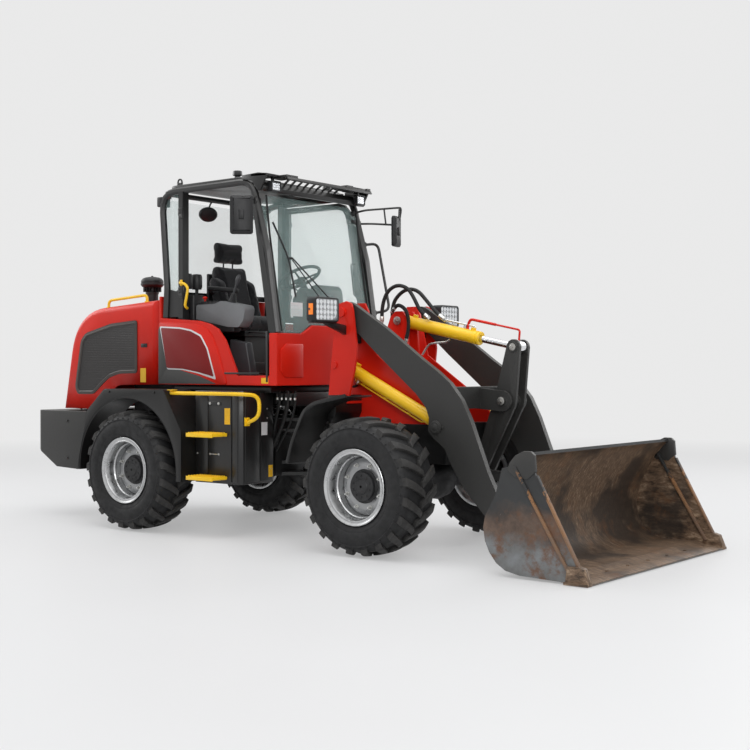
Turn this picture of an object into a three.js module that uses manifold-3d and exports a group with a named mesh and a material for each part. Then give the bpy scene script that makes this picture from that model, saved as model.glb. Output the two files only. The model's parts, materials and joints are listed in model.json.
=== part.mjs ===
// Articulated wheel loader with a cab, Z-bar loader linkage and a general purpose bucket.
// Millimetres. +X runs forward to the bucket, +Y to the operator's left, +Z up.
// Every piece is drawn from the middle of the wheelbase on the ground, and the last lines
// move the machine so that the origin is under the middle of its length.
import * as THREE from "three";
import { mergeVertices } from "three/addons/utils/BufferGeometryUtils.js";
import Module from "manifold-3d";

const wasm = await Module();
wasm.setup();

// ---- Driving dimensions ----
const WHEELBASE = 2642;
const TRACK = 1738;
const TYRE_RADIUS = 537.5;
const TYRE_WIDTH = 410;
const RIM_SEAT_RADIUS = 254;
const RIM_FLANGE_RADIUS = 296;
const RIM_WIDTH = 384;
const CAB_WIDTH = 1400;
const CAB_FLOOR_Z = 1385;
const CAB_FLOOR_THICK = 85;
const CAB_REAR_X = -1250;
const CAB_FRONT_X = 200;
const CAB_SKIN = 28;
const CAB_ROOF_TUBE_Z = 3050;
const TUBE_RADIUS = 32;
const HOOD_WIDTH = 1380;
const HOOD_SKIN = 25;
const COUNTERWEIGHT_REAR_X = -2925;
const COUNTERWEIGHT_WIDTH = 1500;
const FENDER_WIDTH = 2060;
const BUCKET_WIDTH = 2215;
const BUCKET_TIP_X = 3370;
const BUCKET_GROUND_GAP = 4;
const BUCKET_SHELL = 22;
const ARM_INNER_Y = 480;
const ARM_THICK = 50;
const TOWER_WIDTH = 1130;
const TOWER_PLATE = 20;
const BARREL_RADIUS = 55;
const CYLINDER_Y = ARM_INNER_Y - BARREL_RADIUS;
const SLOT_INNER_Y = CYLINDER_Y - BARREL_RADIUS;
const ROD_RADIUS = 28;
const DOOR_THICK = 35;

// ---- Clearances ----
const SEAT_GAP = 0.3;
const SLIDE_GAP = 0.6;
const PIN_GAP = 0.9;
const EYE_GAP = 0.4;
const SIDE_PLAY = 6;
const PANEL_GAP = 8;

// ---- Pivots, as [x, z] in the machine's side view ----
const PIVOT_X = 0;
const ARM_PIVOT = [800, 1905];
const LIFT_BASE = [720, 1475];
const LIFT_EYE = [1720, 990];
const TILT_BASE = [1015, 1845];
const CRANK_TOP = [2135, 1614];
const CRANK_PIVOT = [2060, 1190];
const CRANK_FOOT = [1800, 600];
const BUCKET_PIVOT = [2440, 300];
const BUCKET_LINK_PIN = [2400, 560];
const DOOR_HINGE = { x: -941, y: 707 };

// ---- Materials ----
function paint(color, roughness, metalness = 0) {
  return new THREE.MeshStandardMaterial({ color, roughness, metalness });
}

const redPaint = () => paint(0xc4161c, 0.35, 0.1);
const greyPaint = () => paint(0x3a3b3c, 0.5, 0.1);
const blackPaint = () => paint(0x17181a, 0.55, 0.1);
const yellowPaint = () => paint(0xf2a900, 0.4, 0.1);
const silverPaint = () => paint(0xb9bcbd, 0.35, 0.6);
const rubber = () => paint(0x1b1b1b, 0.85);
const chrome = () => paint(0xd8d8d8, 0.12, 1.0);
const wornSteel = () => paint(0x6b5547, 0.6, 0.7);
const upholstery = () => paint(0x202022, 0.9);
const plastic = () => paint(0x5d6266, 0.6);
const castIron = () => paint(0x1d1d1e, 0.7, 0.4);

function glass() {
  const pane = paint(0xa9c4bd, 0.05);
  pane.transparent = true;
  pane.opacity = 0.35;
  return pane;
}

// ---- Solids ----
function solid(geometry) {
  const bare = geometry.index ? geometry.toNonIndexed() : geometry.clone();
  bare.deleteAttribute("normal");
  bare.deleteAttribute("uv");
  const merged = mergeVertices(bare, 1e-3);
  const triVerts = new Uint32Array(merged.index.array);
  const vertProperties = merged.attributes.position.array;
  const made = new wasm.Manifold(new wasm.Mesh({ numProp: 3, vertProperties, triVerts }));
  if (made.volume() > 0) return made;
  for (let i = 0; i < triVerts.length; i += 3) {
    [triVerts[i + 1], triVerts[i + 2]] = [triVerts[i + 2], triVerts[i + 1]];
  }
  return new wasm.Manifold(new wasm.Mesh({ numProp: 3, vertProperties, triVerts }));
}

function union(solids) {
  return solids.reduce((sum, next) => sum.add(next));
}

function cut(body, solids) {
  return solids.reduce((rest, next) => rest.subtract(next), body);
}

function block([x0, x1], [y0, y1], [z0, z1]) {
  const box = new THREE.BoxGeometry(x1 - x0, y1 - y0, z1 - z0);
  box.translate((x0 + x1) / 2, (y0 + y1) / 2, (z0 + z1) / 2);
  return solid(box);
}

function shapeOf(points, holes = []) {
  const shape = new THREE.Shape(points.map(([a, b]) => new THREE.Vector2(a, b)));
  for (const hole of holes) {
    shape.holes.push(new THREE.Path(hole.map(([a, b]) => new THREE.Vector2(a, b))));
  }
  return shape;
}

function extrude(points, depth, holes) {
  const settings = { depth, bevelEnabled: false };
  return new THREE.ExtrudeGeometry(shapeOf(points, holes), settings);
}

// A plate whose outline is [x, z], from y0 to y1.
function sidePlate(points, [y0, y1], holes) {
  const plate = extrude(points, y1 - y0, holes);
  plate.rotateX(Math.PI / 2);
  plate.translate(0, y1, 0);
  return solid(plate);
}

// A plate whose outline is [x, y], from z0 to z1.
function planPlate(points, [z0, z1], holes) {
  const plate = extrude(points, z1 - z0, holes);
  plate.translate(0, 0, z0);
  return solid(plate);
}

// A plate whose outline is [y, z], from x0 to x1.
function frontPlate(points, [x0, x1], holes) {
  const plate = extrude(points, x1 - x0, holes);
  const turn = new THREE.Matrix4().makeBasis(
    new THREE.Vector3(0, 1, 0),
    new THREE.Vector3(0, 0, 1),
    new THREE.Vector3(1, 0, 0),
  );
  plate.applyMatrix4(turn);
  plate.translate(x0, 0, 0);
  return solid(plate);
}

function bar(from, to, radius, sides = 16, endRadius = radius) {
  const start = new THREE.Vector3(...from);
  const end = new THREE.Vector3(...to);
  const axis = end.clone().sub(start);
  const rod = new THREE.CylinderGeometry(endRadius, radius, axis.length(), sides);
  const turn = new THREE.Quaternion().setFromUnitVectors(
    new THREE.Vector3(0, 1, 0),
    axis.clone().normalize(),
  );
  rod.applyQuaternion(turn);
  rod.translate(...start.add(end).multiplyScalar(0.5).toArray());
  return solid(rod);
}

// A round pin across the machine at a side view point.
function crossPin([x, z], [y0, y1], radius, sides = 16) {
  return bar([x, y0, z], [x, y1, z], radius, sides);
}

// The smallest outline that holds some circles, each [x, z, radius].
function hullOfCircles(circles, steps = 14) {
  const points = [];
  for (const [x, z, radius] of circles) {
    for (let i = 0; i < steps; i++) {
      const turn = (2 * Math.PI * i) / steps;
      points.push([x + radius * Math.cos(turn), z + radius * Math.sin(turn)]);
    }
  }
  points.sort((a, b) => a[0] - b[0] || a[1] - b[1]);
  const half = (list) => {
    const chain = [];
    for (const p of list) {
      while (chain.length > 1 && turnOf(chain.at(-2), chain.at(-1), p) <= 0) chain.pop();
      chain.push(p);
    }
    return chain.slice(0, -1);
  };
  return [...half(points), ...half(points.slice().reverse())];
}

function turnOf(a, b, c) {
  return (b[0] - a[0]) * (c[1] - a[1]) - (b[1] - a[1]) * (c[0] - a[0]);
}

// A path through knots, with one step of an extrusion to each stretch between two knots.
class KnottedPath extends THREE.Curve {
  constructor(knots) {
    super();
    this.knots = knots;
    this.steps = knots.length - 1;
  }

  getPoint(t) {
    const place = t * this.steps;
    const i = Math.min(Math.floor(place), this.steps - 1);
    return this.knots[i].clone().lerp(this.knots[i + 1], place - i);
  }

  getPointAt(u) {
    return this.getPoint(u);
  }

  getTangentAt(u) {
    const reach = 0.01 / this.steps;
    const before = this.getPoint(Math.max(0, u - reach));
    const after = this.getPoint(Math.min(1, u + reach));
    return after.sub(before).normalize();
  }
}

// A round tube along a polyline whose corners are bent to a radius.
function bentTube(points, bendRadius, radius, sides = 8, facets = 3) {
  const corners = points.map((p) => new THREE.Vector3(...p));
  const knots = [corners[0]];
  for (let i = 1; i < corners.length - 1; i++) {
    const back = corners[i - 1].clone().sub(corners[i]);
    const ahead = corners[i + 1].clone().sub(corners[i]);
    const half = back.angleTo(ahead) / 2;
    const reach = Math.min(bendRadius / Math.tan(half), back.length() * 0.48, ahead.length() * 0.48);
    const enter = corners[i].clone().add(back.setLength(reach));
    const leave = corners[i].clone().add(ahead.setLength(reach));
    const bend = new THREE.QuadraticBezierCurve3(enter, corners[i], leave);
    knots.push(...bend.getPoints(facets));
  }
  knots.push(corners.at(-1));
  const section = Array.from({ length: sides }, (_, i) => {
    const turn = (2 * Math.PI * (i + 0.5)) / sides;
    return [radius * Math.cos(turn), radius * Math.sin(turn)];
  });
  const path = new KnottedPath(knots);
  const settings = { steps: path.steps, extrudePath: path, bevelEnabled: false };
  return solid(new THREE.ExtrudeGeometry(shapeOf(section), settings));
}

// A solid of revolution about a line along Y; profile points are [radius, y].
function turned(profile, segments) {
  const points = profile.map(([r, y]) => new THREE.Vector2(r, y));
  return solid(new THREE.LatheGeometry(points, segments, Math.PI / segments));
}

function mirrored(body) {
  return body.mirror([0, 1, 0]);
}

const offsetX = -(BUCKET_TIP_X + COUNTERWEIGHT_REAR_X) / 2;
const loader = new THREE.Group();
loader.position.x = offsetX;

function add(name, body, material) {
  const { vertProperties, triVerts, numProp, numVert } = body.getMesh();
  const places = new Float32Array(numVert * 3);
  for (let i = 0; i < numVert; i++) {
    places.set(vertProperties.subarray(i * numProp, i * numProp + 3), i * 3);
  }
  const geometry = new THREE.BufferGeometry();
  geometry.setAttribute("position", new THREE.BufferAttribute(places, 3));
  geometry.setIndex(new THREE.BufferAttribute(triVerts, 1));
  geometry.computeVertexNormals();
  const mesh = new THREE.Mesh(geometry, material);
  mesh.name = name;
  loader.add(mesh);
}

const axleX = WHEELBASE / 2;
const wheelY = TRACK / 2;
const hubPlay = 0.4;
const hubFaceY = wheelY - 60;

// ---- Wheels ----
function tyre() {
  const facets = 32;
  const crown = TYRE_RADIUS / Math.cos(Math.PI / facets);
  const half = TYRE_WIDTH / 2;
  const seat = RIM_SEAT_RADIUS + SEAT_GAP + 1;
  const flange = RIM_WIDTH / 2 - 27;
  const side = [
    [seat, flange],
    [RIM_FLANGE_RADIUS + 2, flange],
    [RIM_FLANGE_RADIUS + 24, half - 12],
    [TYRE_RADIUS - 130, half],
    [TYRE_RADIUS - 55, half - 8],
    [crown, half - 75],
  ];
  const otherSide = side.map(([r, y]) => [r, -y]).reverse();
  return turned([...side, ...otherSide, side[0]], facets);
}

function rim() {
  const edge = RIM_WIDTH / 2;
  const lip = RIM_FLANGE_RADIUS;
  const seat = RIM_SEAT_RADIUS;
  const profile = [
    [0, 100],
    [60, 98],
    [60, 62],
    [150, 62],
    [205, 50],
    [234, 110],
    [240, edge - 26],
    [lip - 30, edge],
    [lip, edge - 2],
    [lip, edge - 18],
    [seat, edge - 26],
    [seat, 26 - edge],
    [lip, 18 - edge],
    [lip, 2 - edge],
    [lip - 30, -edge],
    [240, 26 - edge],
    [236, -60],
    [150, 34],
    [90, 34],
    [90, hubFaceY - wheelY + hubPlay],
    [0, hubFaceY - wheelY + hubPlay],
  ];
  return turned(profile, 16);
}

function addWheels() {
  const corners = [
    ["front_right", axleX, -1],
    ["front_left", axleX, 1],
    ["rear_right", -axleX, -1],
    ["rear_left", -axleX, 1],
  ];
  for (const [corner, x, side] of corners) {
    const place = (body) => {
      const turnedBody = side > 0 ? body : mirrored(body);
      return turnedBody.translate([x, side * wheelY, TYRE_RADIUS]);
    };
    add(`tyre_${corner}`, place(tyre()), rubber());
    add(`rim_${corner}`, place(rim()), silverPaint());
  }
}

// ---- Axles ----
const padTop = 690 - SEAT_GAP;

function axle(x) {
  const z = TYRE_RADIUS;
  const ball = new THREE.SphereGeometry(1, 14, 8);
  ball.scale(190, 200, 175);
  ball.translate(x, 0, z);
  const pieces = [
    bar([x, -hubFaceY + 40, z], [x, hubFaceY - 40, z], 82, 12),
    solid(ball),
  ];
  for (const side of [-1, 1]) {
    pieces.push(bar([x, side * (hubFaceY - 70), z], [x, side * hubFaceY, z], 128, 16));
    const padY = side > 0 ? [275, 355] : [-355, -275];
    pieces.push(block([x - 90, x + 90], padY, [z, padTop]));
  }
  return union(pieces);
}

// ---- Rear chassis ----
const railY = [300, 335];
const railTop = 1010;
const railBottom = 690;

function counterweightFrontX(z) {
  return -2340 + (125 * (z - 482)) / 563;
}

function bothSides(body) {
  return [body, mirrored(body)];
}

function rearFrame() {
  const rail = [
    [counterweightFrontX(railTop) + SEAT_GAP, railTop],
    [-150, railTop],
    [-150, 500],
    [-700, 500],
    [-900, railBottom],
    [counterweightFrontX(railBottom) + SEAT_GAP, railBottom],
  ];
  const lug = [
    [PIVOT_X - 160, -260],
    [PIVOT_X, -95],
    [PIVOT_X + 67, -67],
    [PIVOT_X + 95, 0],
    [PIVOT_X + 67, 67],
    [PIVOT_X, 95],
    [PIVOT_X - 160, 260],
  ];
  const pieces = [
    ...bothSides(sidePlate(rail, railY)),
    block([-182, -152], [-320, 320], [504, railTop - 6]),
    block([-740, -710], [-320, 320], [530, railTop - 6]),
    block([-2100, -1420], [-320, 320], [735, 760]),
    block([-2210, -2184], [-320, 320], [railBottom + 4, railTop - 6]),
    bar([PIVOT_X, 0, 500], [PIVOT_X, 0, railTop], 40, 24),
    ...bothSides(block([-290, -220], [288, 348], [railTop - 60, underFloor - SEAT_GAP])),
    ...bothSides(block([-1180, -1110], [288, 348], [railTop - 60, underFloor - SEAT_GAP])),
  ];
  for (const [low, high] of [[500, 530], [600, 630], [880, 910], [980, railTop - 2]]) {
    pieces.push(planPlate(lug, [low, high]));
  }
  return union(pieces);
}

function counterweight() {
  const half = COUNTERWEIGHT_WIDTH / 2;
  const outline = [
    [COUNTERWEIGHT_REAR_X, 652],
    [COUNTERWEIGHT_REAR_X + 270, 497],
    [counterweightFrontX(482), 482],
    [counterweightFrontX(1038), 1038],
    [COUNTERWEIGHT_REAR_X, 1038],
  ];
  return sidePlate(outline, [-half, half]);
}

function engineBlock() {
  return block([-2080, -1440], [-270, 270], [760 + SEAT_GAP, 1440]);
}

// ---- Rear fenders and side boxes, drawn on the left ----
const archRadius = TYRE_RADIUS + 117.5;
const fenderSkin = 14;
const linerTop = TYRE_RADIUS + archRadius + fenderSkin;
const fenderOuterY = FENDER_WIDTH / 2;
const fenderInnerY = CAB_WIDTH / 2 + 2;
const fenderFrontX = -axleX + 711;

function archPoints(centreX, radius, fromDegrees, toDegrees, steps) {
  return Array.from({ length: steps + 1 }, (_, i) => {
    const degrees = fromDegrees + ((toDegrees - fromDegrees) * i) / steps;
    const turn = THREE.MathUtils.degToRad(degrees);
    return [centreX + radius * Math.cos(turn), TYRE_RADIUS + radius * Math.sin(turn)];
  });
}

function rearFender() {
  const outside = [
    [fenderFrontX, 470],
    [fenderFrontX, 905],
    [-axleX + 485, 1262],
    [-axleX - 300, 1262],
    [-axleX - 540, 1064],
    [-axleX - 695, 515],
  ];
  const arch = archPoints(-axleX, archRadius, 182, -6, 14);
  const face = sidePlate([...outside, ...arch], [fenderOuterY - fenderSkin, fenderOuterY]);
  const liner = archPoints(-axleX, archRadius + fenderSkin, 182, -6, 14);
  const sheet = [...liner.reverse(), ...arch];
  const top = [
    [-axleX + 485, 1262],
    [-axleX - 300, 1262],
    [-axleX - 300, 1248],
    [-axleX + 485, 1248],
  ];
  const bracket = [
    block([-axleX - 79, -axleX + 21], [302, fenderInnerY + 6], [linerTop - 10.5, linerTop + 19.5]),
    block([-axleX - 79, -axleX + 21], [304, 331], [railTop + SEAT_GAP, linerTop + 19.5]),
  ];
  return union([
    face,
    sidePlate(sheet, [fenderInnerY, fenderOuterY]),
    sidePlate(top, [fenderInnerY, fenderOuterY]),
    ...bracket,
  ]);
}

const boxOuterY = 860;
const boxFrontX = -60;
const boxRearX = fenderFrontX + SEAT_GAP;
const boxZ = [462, 1255];

function sideBox() {
  const plan = [
    [boxRearX, 460],
    [boxFrontX, 460],
    [boxFrontX, boxOuterY - 30],
    [boxFrontX - 30, boxOuterY],
    [boxRearX, boxOuterY],
  ];
  const bracket = block([-560, -420], [railY[1] + SEAT_GAP, 470], [760, 980]);
  return planPlate(plan, boxZ).add(bracket);
}

function steps() {
  const tread = [
    [-541, boxOuterY + SEAT_GAP],
    [-230, boxOuterY + SEAT_GAP],
    [-230, boxOuterY + 30],
    [-225, 1030],
    [-541, 1030],
  ];
  const hanger = block([-400, -360], [boxOuterY + SEAT_GAP, boxOuterY + 12], [500, 880]);
  return union([planPlate(tread, [494, 532]), planPlate(tread, [862, 900]), hanger]);
}

function deckRail() {
  const z = boxZ[1] + TUBE_RADIUS;
  const y = 965;
  const foot = boxOuterY - 8;
  const tube = bentTube(
    [
      [-760, y, z - 20],
      [40, y, z - 20],
      [40, y, 985],
      [boxFrontX + 60, foot, 985],
    ],
    90,
    17,
  );
  const tab = block([boxFrontX + SEAT_GAP, boxFrontX + 62], [foot - 30, foot + 10], [968, 1002]);
  const saddle = block([-720, -650], [y - 20, y + 10], [1262 + SEAT_GAP, z - 10]);
  return union([tube, tab, saddle]);
}

// ---- Cab ----
const cabHalf = CAB_WIDTH / 2;
const sill = CAB_FLOOR_Z;
const underFloor = CAB_FLOOR_Z - CAB_FLOOR_THICK;
const cowlTop = 1745;
const rearWallTop = 2100;
const doorGapX = { rear: -265, front: 112 };
const quarterTop = [
  [CAB_REAR_X, 1905],
  [-735, 1868],
  [-600, 1838],
  [-500, 1792],
  [-412, 1695],
  [doorGapX.rear, 1405],
];

function cabBody() {
  const quarter = [[CAB_REAR_X, underFloor], [doorGapX.rear, underFloor], ...quarterTop.slice().reverse()];
  const cowl = [
    [-cabHalf, underFloor],
    [cabHalf, underFloor],
    [cabHalf, cowlTop],
    [370, cowlTop],
    [230, cowlTop + 75],
    [-230, cowlTop + 75],
    [-370, cowlTop],
    [-cabHalf, cowlTop],
  ];
  const corner = [
    [doorGapX.front, underFloor],
    [CAB_FRONT_X, underFloor],
    [CAB_FRONT_X, cowlTop],
    [doorGapX.front, cowlTop],
  ];
  const skinY = [cabHalf - CAB_SKIN, cabHalf];
  return union([
    block([CAB_REAR_X, CAB_FRONT_X], [-cabHalf, cabHalf], [underFloor, sill]),
    ...bothSides(sidePlate(quarter, skinY)),
    ...bothSides(sidePlate(corner, skinY)),
    frontPlate(cowl, [CAB_FRONT_X - 35, CAB_FRONT_X]),
    block([CAB_REAR_X, CAB_REAR_X + 25], [-cabHalf, cabHalf], [underFloor, rearWallTop]),
  ]);
}

const loopY = cabHalf - TUBE_RADIUS;
const loopBend = 170;
const rearPost = { x: -1205, low: 1908, bendZ: 2180, topX: -1243 };
const pillarBar = [
  [99, cowlTop + SEAT_GAP],
  [168, cowlTop + SEAT_GAP],
  [-40, 2900],
  [-92, 2860],
];

function loopTube(side, extra = 0) {
  const y = side * loopY;
  const points = [
    [-1187, y, rearPost.low - extra],
    [-1172, y, rearPost.bendZ],
    [rearPost.topX, y, CAB_ROOF_TUBE_Z - 8],
    [-110, y, CAB_ROOF_TUBE_Z],
    [70, y, 2440],
    [178, y, cowlTop + 6 - extra],
  ];
  return bentTube(points, loopBend, TUBE_RADIUS + extra, 8, 4);
}

const pillarX = [-1000, -945];
const pillarInnerY = 620;

function cabFrame() {
  const pieces = [];
  for (const side of [-1, 1]) {
    const span = (low, high) => (side > 0 ? [low, high] : [-high, -low]);
    const inner = cabHalf - CAB_SKIN - SEAT_GAP;
    pieces.push(
      loopTube(side),
      sidePlate(pillarBar, span(640, 690)),
      block(pillarX, span(pillarInnerY, inner), [sill + SEAT_GAP, CAB_ROOF_TUBE_Z]),
      block(pillarX, span(inner - 5, cabHalf - 5), [1894, CAB_ROOF_TUBE_Z - 10]),
    );
    const gusset = [
      [-1200, 1910],
      [-990, 1910],
      [-990, 2180],
      [-1060, 2140],
      [-1180, 2170],
    ];
    pieces.push(sidePlate(gusset, span(646, 668)));
    for (const z of hingeHeights) {
      pieces.push(
        block([pillarX[1] - 30, DOOR_HINGE.x], span(690, DOOR_HINGE.y + 6), [z - 40, z]),
        bar([DOOR_HINGE.x, side * DOOR_HINGE.y, z - 40], [DOOR_HINGE.x, side * DOOR_HINGE.y, z], 10, 12),
      );
    }
  }
  pieces.push(
    bar([-165, -loopY, 3040], [-165, loopY, 3040], 24, 10),
    bar([-1180, -loopY, 3030], [-1180, loopY, 3030], 24, 10),
    block([-1212, -1180], [-loopY, loopY], [rearWallTop + SEAT_GAP, rearWallTop + 50]),
  );
  return union(pieces);
}

const hingeHeights = [2120, 2830];

function roofShadow() {
  return [-1, 1].map((side) => loopTube(side, 0.4));
}

function cabRoof() {
  const visor = [
    [-150, 3072],
    [-100, 3108],
    [67, 3108],
    [30, 2965],
    [0, 2950],
    [-30, 3010],
    [-90, 3072],
  ];
  const panel = block([-1150, -100], [-cabHalf + 30, cabHalf - 30], [3066, 3088]);
  const front = sidePlate(visor, [-cabHalf, cabHalf]);
  return cut(panel.add(front), roofShadow());
}

function slantedPane(outline, foot, head, thick) {
  const rise = new THREE.Vector3(head[0] - foot[0], 0, head[1] - foot[1]).normalize();
  const across = new THREE.Vector3(0, 1, 0);
  const pane = extrude(outline, thick);
  pane.applyMatrix4(new THREE.Matrix4().makeBasis(across, rise, across.clone().cross(rise)));
  pane.translate(foot[0], 0, foot[1]);
  return solid(pane);
}

const paneHalf = 640 - SEAT_GAP;

function windshield() {
  const outline = [
    [-paneHalf, 4],
    [-372, 4],
    [-232, 80],
    [232, 80],
    [372, 4],
    [paneHalf, 4],
    [paneHalf, 1120],
    [paneHalf - 90, 1210],
    [90 - paneHalf, 1210],
    [-paneHalf, 1120],
  ];
  return cut(slantedPane(outline, [172, cowlTop], [-55, 2940], 6), roofShadow());
}

function rearWindow() {
  const outline = [
    [-paneHalf, 0],
    [paneHalf, 0],
    [paneHalf, 760],
    [paneHalf - 90, 838],
    [90 - paneHalf, 838],
    [-paneHalf, 760],
  ];
  return cut(
    slantedPane(outline, [-1186, rearWallTop + 50 + SEAT_GAP], [-1250, 2990], 6),
    roofShadow(),
  );
}

function quarterWindow() {
  const outline = [
    [pillarX[0] - SEAT_GAP, 2176.5],
    [pillarX[0] - SEAT_GAP, 3010],
    [-1200, 3010],
    [-1225, 2800],
    [-1175, 2171],
    [-1060, 2141],
  ];
  return cut(sidePlate(outline, [652, 658]), roofShadow());
}

// ---- Cab inside ----
function seatBase() {
  return union([
    block([-1000, -660], [-190, 190], [sill + SEAT_GAP, 1500]),
    block([-960, -700], [-150, 150], [1500, 1740]),
    block([-1060, -640], [-215, 215], [1740, 1790]),
  ]);
}

function seatCushion() {
  const outline = [
    [-1060, 1790 + SEAT_GAP],
    [-640, 1790 + SEAT_GAP],
    [-612, 1835],
    [-625, 1905],
    [-700, 1925],
    [-1060, 1905],
  ];
  return sidePlate(outline, [-240, 240]);
}

function seatBackrest() {
  const back = [
    [-1055, 1905.7],
    [-955, 1911.3],
    [-1010, 2330],
    [-1035, 2395],
    [-1105, 2395],
    [-1130, 2330],
  ];
  const head = [
    [-1115, 2425],
    [-1015, 2425],
    [-1022, 2600],
    [-1045, 2622],
    [-1095, 2622],
    [-1112, 2600],
  ];
  return union([
    sidePlate(back, [-235, 235]),
    sidePlate(head, [-150, 150]),
    ...[-60, 60].map((y) => bar([-1070, y, 2380], [-1066, y, 2440], 8, 8)),
  ]);
}

function sideConsole() {
  const outline = [
    [-980, 1745],
    [-560, 1745],
    [-420, 1830],
    [-400, 1925],
    [-620, 1950],
    [-980, 1960],
  ];
  const stickFoot = [-470, -480, 1925];
  return union([
    sidePlate(outline, [-570, -400]),
    block([-900, -740], [-540, -430], [sill + SEAT_GAP, 1750]),
    bar(stickFoot, [-470, -480, 2015], 42, 12, 22),
    bar([-470, -480, 2000], [-440, -480, 2160], 9, 8),
    bar([-442, -480, 2140], [-432, -480, 2200], 20, 10),
  ]);
}

function dashboard() {
  const column = [
    [-80, sill + SEAT_GAP],
    [90, sill + SEAT_GAP],
    [85, 2060],
    [50, 2140],
    [-20, 2160],
    [-100, 2060],
  ];
  const wheel = new THREE.TorusGeometry(190, 15, 6, 20);
  wheel.rotateY(THREE.MathUtils.degToRad(-28));
  wheel.translate(-165, 0, 2265);
  const spokes = [-1, 1].map((side) => bar([-165, 0, 2258], [-165, side * 188, 2265], 11, 8));
  return union([
    sidePlate(column, [-170, 170]),
    bar([-60, 0, 2080], [-168, 0, 2262], 26, 12),
    solid(wheel),
    ...spokes,
  ]);
}

// ---- Fittings on the cab ----
function mirrorRight() {
  const head = new THREE.BoxGeometry(36, 200, 330);
  head.rotateZ(THREE.MathUtils.degToRad(-48));
  head.translate(-135, -800, 2765);
  return union([
    solid(head),
    bentTube([[-62, 3 - cabHalf, 2880], [-80, -790, 2900], [-110, -800, 2900]], 20, 9, 6),
    bar([-110, -800, 2800], [-110, -800, 2908], 9, 8),
  ]);
}

function mirrorLeft() {
  const head = block([165, 205], [950, 1060], [2610, 2900]);
  return union([
    head,
    bentTube([[-62, cabHalf - 2, 2880], [60, 790, 2960], [185, 1030, 2985], [185, 1040, 2880]], 50, 9, 6),
    bar([-38, cabHalf - 2, 2800], [184, 1030, 2850], 8, 8),
  ]);
}

function doorHandrail() {
  const points = [
    [24, cabHalf - 3, 2600],
    [72, cabHalf + 140, 2620],
    [205, cabHalf + 150, 1990],
    [146, cabHalf - 3, 1960],
  ];
  return bentTube(points, 60, 13);
}

function cutFromTube(body) {
  return cut(body, roofShadow());
}

// ---- Left door ----
const doorY = [cabHalf - 10 - DOOR_THICK, cabHalf - 10];

function leftDoor() {
  const outline = [
    [doorGapX.rear + PANEL_GAP, sill + PANEL_GAP],
    [doorGapX.front - PANEL_GAP - 4, sill + PANEL_GAP],
    [doorGapX.front - PANEL_GAP - 4, cowlTop - 10],
    [78, cowlTop + 15],
    [-102, 2850],
    [-135, 2925],
    [-190, 2985],
    [-260, 3005],
    [DOOR_HINGE.x + 4, 3005],
    [DOOR_HINGE.x + 4, 1892],
    [-732, 1877],
    [-597, 1847],
    [-494, 1801],
    [-404, 1702],
    [doorGapX.rear + PANEL_GAP, 1405],
  ];
  const rail = 55;
  const light = [
    [-190, 1480],
    [40, 1480],
    [40, 1720],
    [20, 1760],
    [-155, 2840],
    [-200, 2925],
    [-270, 2950],
    [DOOR_HINGE.x + rail, 2950],
    [DOOR_HINGE.x + rail, 1945],
    [-700, 1925],
    [-540, 1880],
    [-370, 1740],
  ];
  const hinges = hingeHeights.flatMap((z) => [
    block([DOOR_HINGE.x, DOOR_HINGE.x + 45], [688, 713], [z + hubPlay, z + 40]),
    bar([DOOR_HINGE.x, DOOR_HINGE.y, z + hubPlay], [DOOR_HINGE.x, DOOR_HINGE.y, z + 40], 10, 12),
  ]);
  const grab = bentTube(
    [
      [-60, doorY[0] + 5, 2420],
      [-60, doorY[0] - 55, 2420],
      [-20, doorY[0] - 55, 2120],
      [-20, doorY[0] + 5, 2120],
    ],
    30,
    9,
    6,
  );
  const frame = sidePlate(outline, doorY, [light]);
  const grabPlate = sidePlate([[-110, 2380], [-50, 2380], [10, 2100], [-45, 2100]], [doorY[0], doorY[0] + 12]);
  const pane = light.map(([x, z]) => {
    const middle = [-450, 2300];
    const shrink = 0.9995;
    return [middle[0] + (x - middle[0]) * shrink, middle[1] + (z - middle[1]) * shrink];
  });
  const paneBody = sidePlate(pane, [doorY[0] + 14, doorY[0] + 20]);
  add("left_door", union([frame, grabPlate, grab, ...hinges]), blackPaint());
  add("left_door_glass", paneBody, glass());
}

// ---- Hood ----
const hoodHalf = HOOD_WIDTH / 2;
const HOOD_FRONT_X = CAB_REAR_X - 14;
const hoodTopFront = 2077;
const hoodHinge = { x: CAB_REAR_X - 7, z: 2069, radius: 7 - SEAT_GAP };

function hoodOutline(inset) {
  return [
    [HOOD_FRONT_X, 1300],
    [HOOD_FRONT_X, hoodTopFront - inset],
    [-2017 + inset * 0.3, 2028 - inset],
    [-2200 + inset * 0.4, 1995 - inset],
    [-2330 + inset * 0.7, 1935 - inset],
    [-2430 + inset, 1850 - inset * 0.5],
    [-2475 + inset, 1790],
    [-2570 + inset, 1333],
    [-2617 + inset, 1060],
    [-2050, 1060],
    [-1850, 1292],
  ];
}

function hood() {
  const shell = sidePlate(hoodOutline(0), [-hoodHalf, hoodHalf]);
  const hollow = hoodOutline(HOOD_SKIN);
  hollow[0] = [HOOD_FRONT_X + 20, 1280];
  hollow[1] = [HOOD_FRONT_X + 20, hoodTopFront - HOOD_SKIN];
  hollow[8] = [-2617 + HOOD_SKIN, 1040];
  hollow[9] = [-2040, 1040];
  hollow[10] = [-1840, 1272];
  const skin = shell.subtract(sidePlate(hollow, [HOOD_SKIN - hoodHalf, hoodHalf - HOOD_SKIN]));
  const { x, z, radius } = hoodHinge;
  const leafZ = [z - radius, z + 5];
  return union([
    skin,
    ...bothSides(crossPin([x, z], [330, 400], radius, 12)),
    ...bothSides(block([HOOD_FRONT_X - 40, x], [330, 400], leafZ)),
  ]);
}

function hoodTopZ(x) {
  return hoodTopFront + ((x - HOOD_FRONT_X) * (hoodTopFront - 2028)) / (HOOD_FRONT_X + 2017);
}

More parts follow.
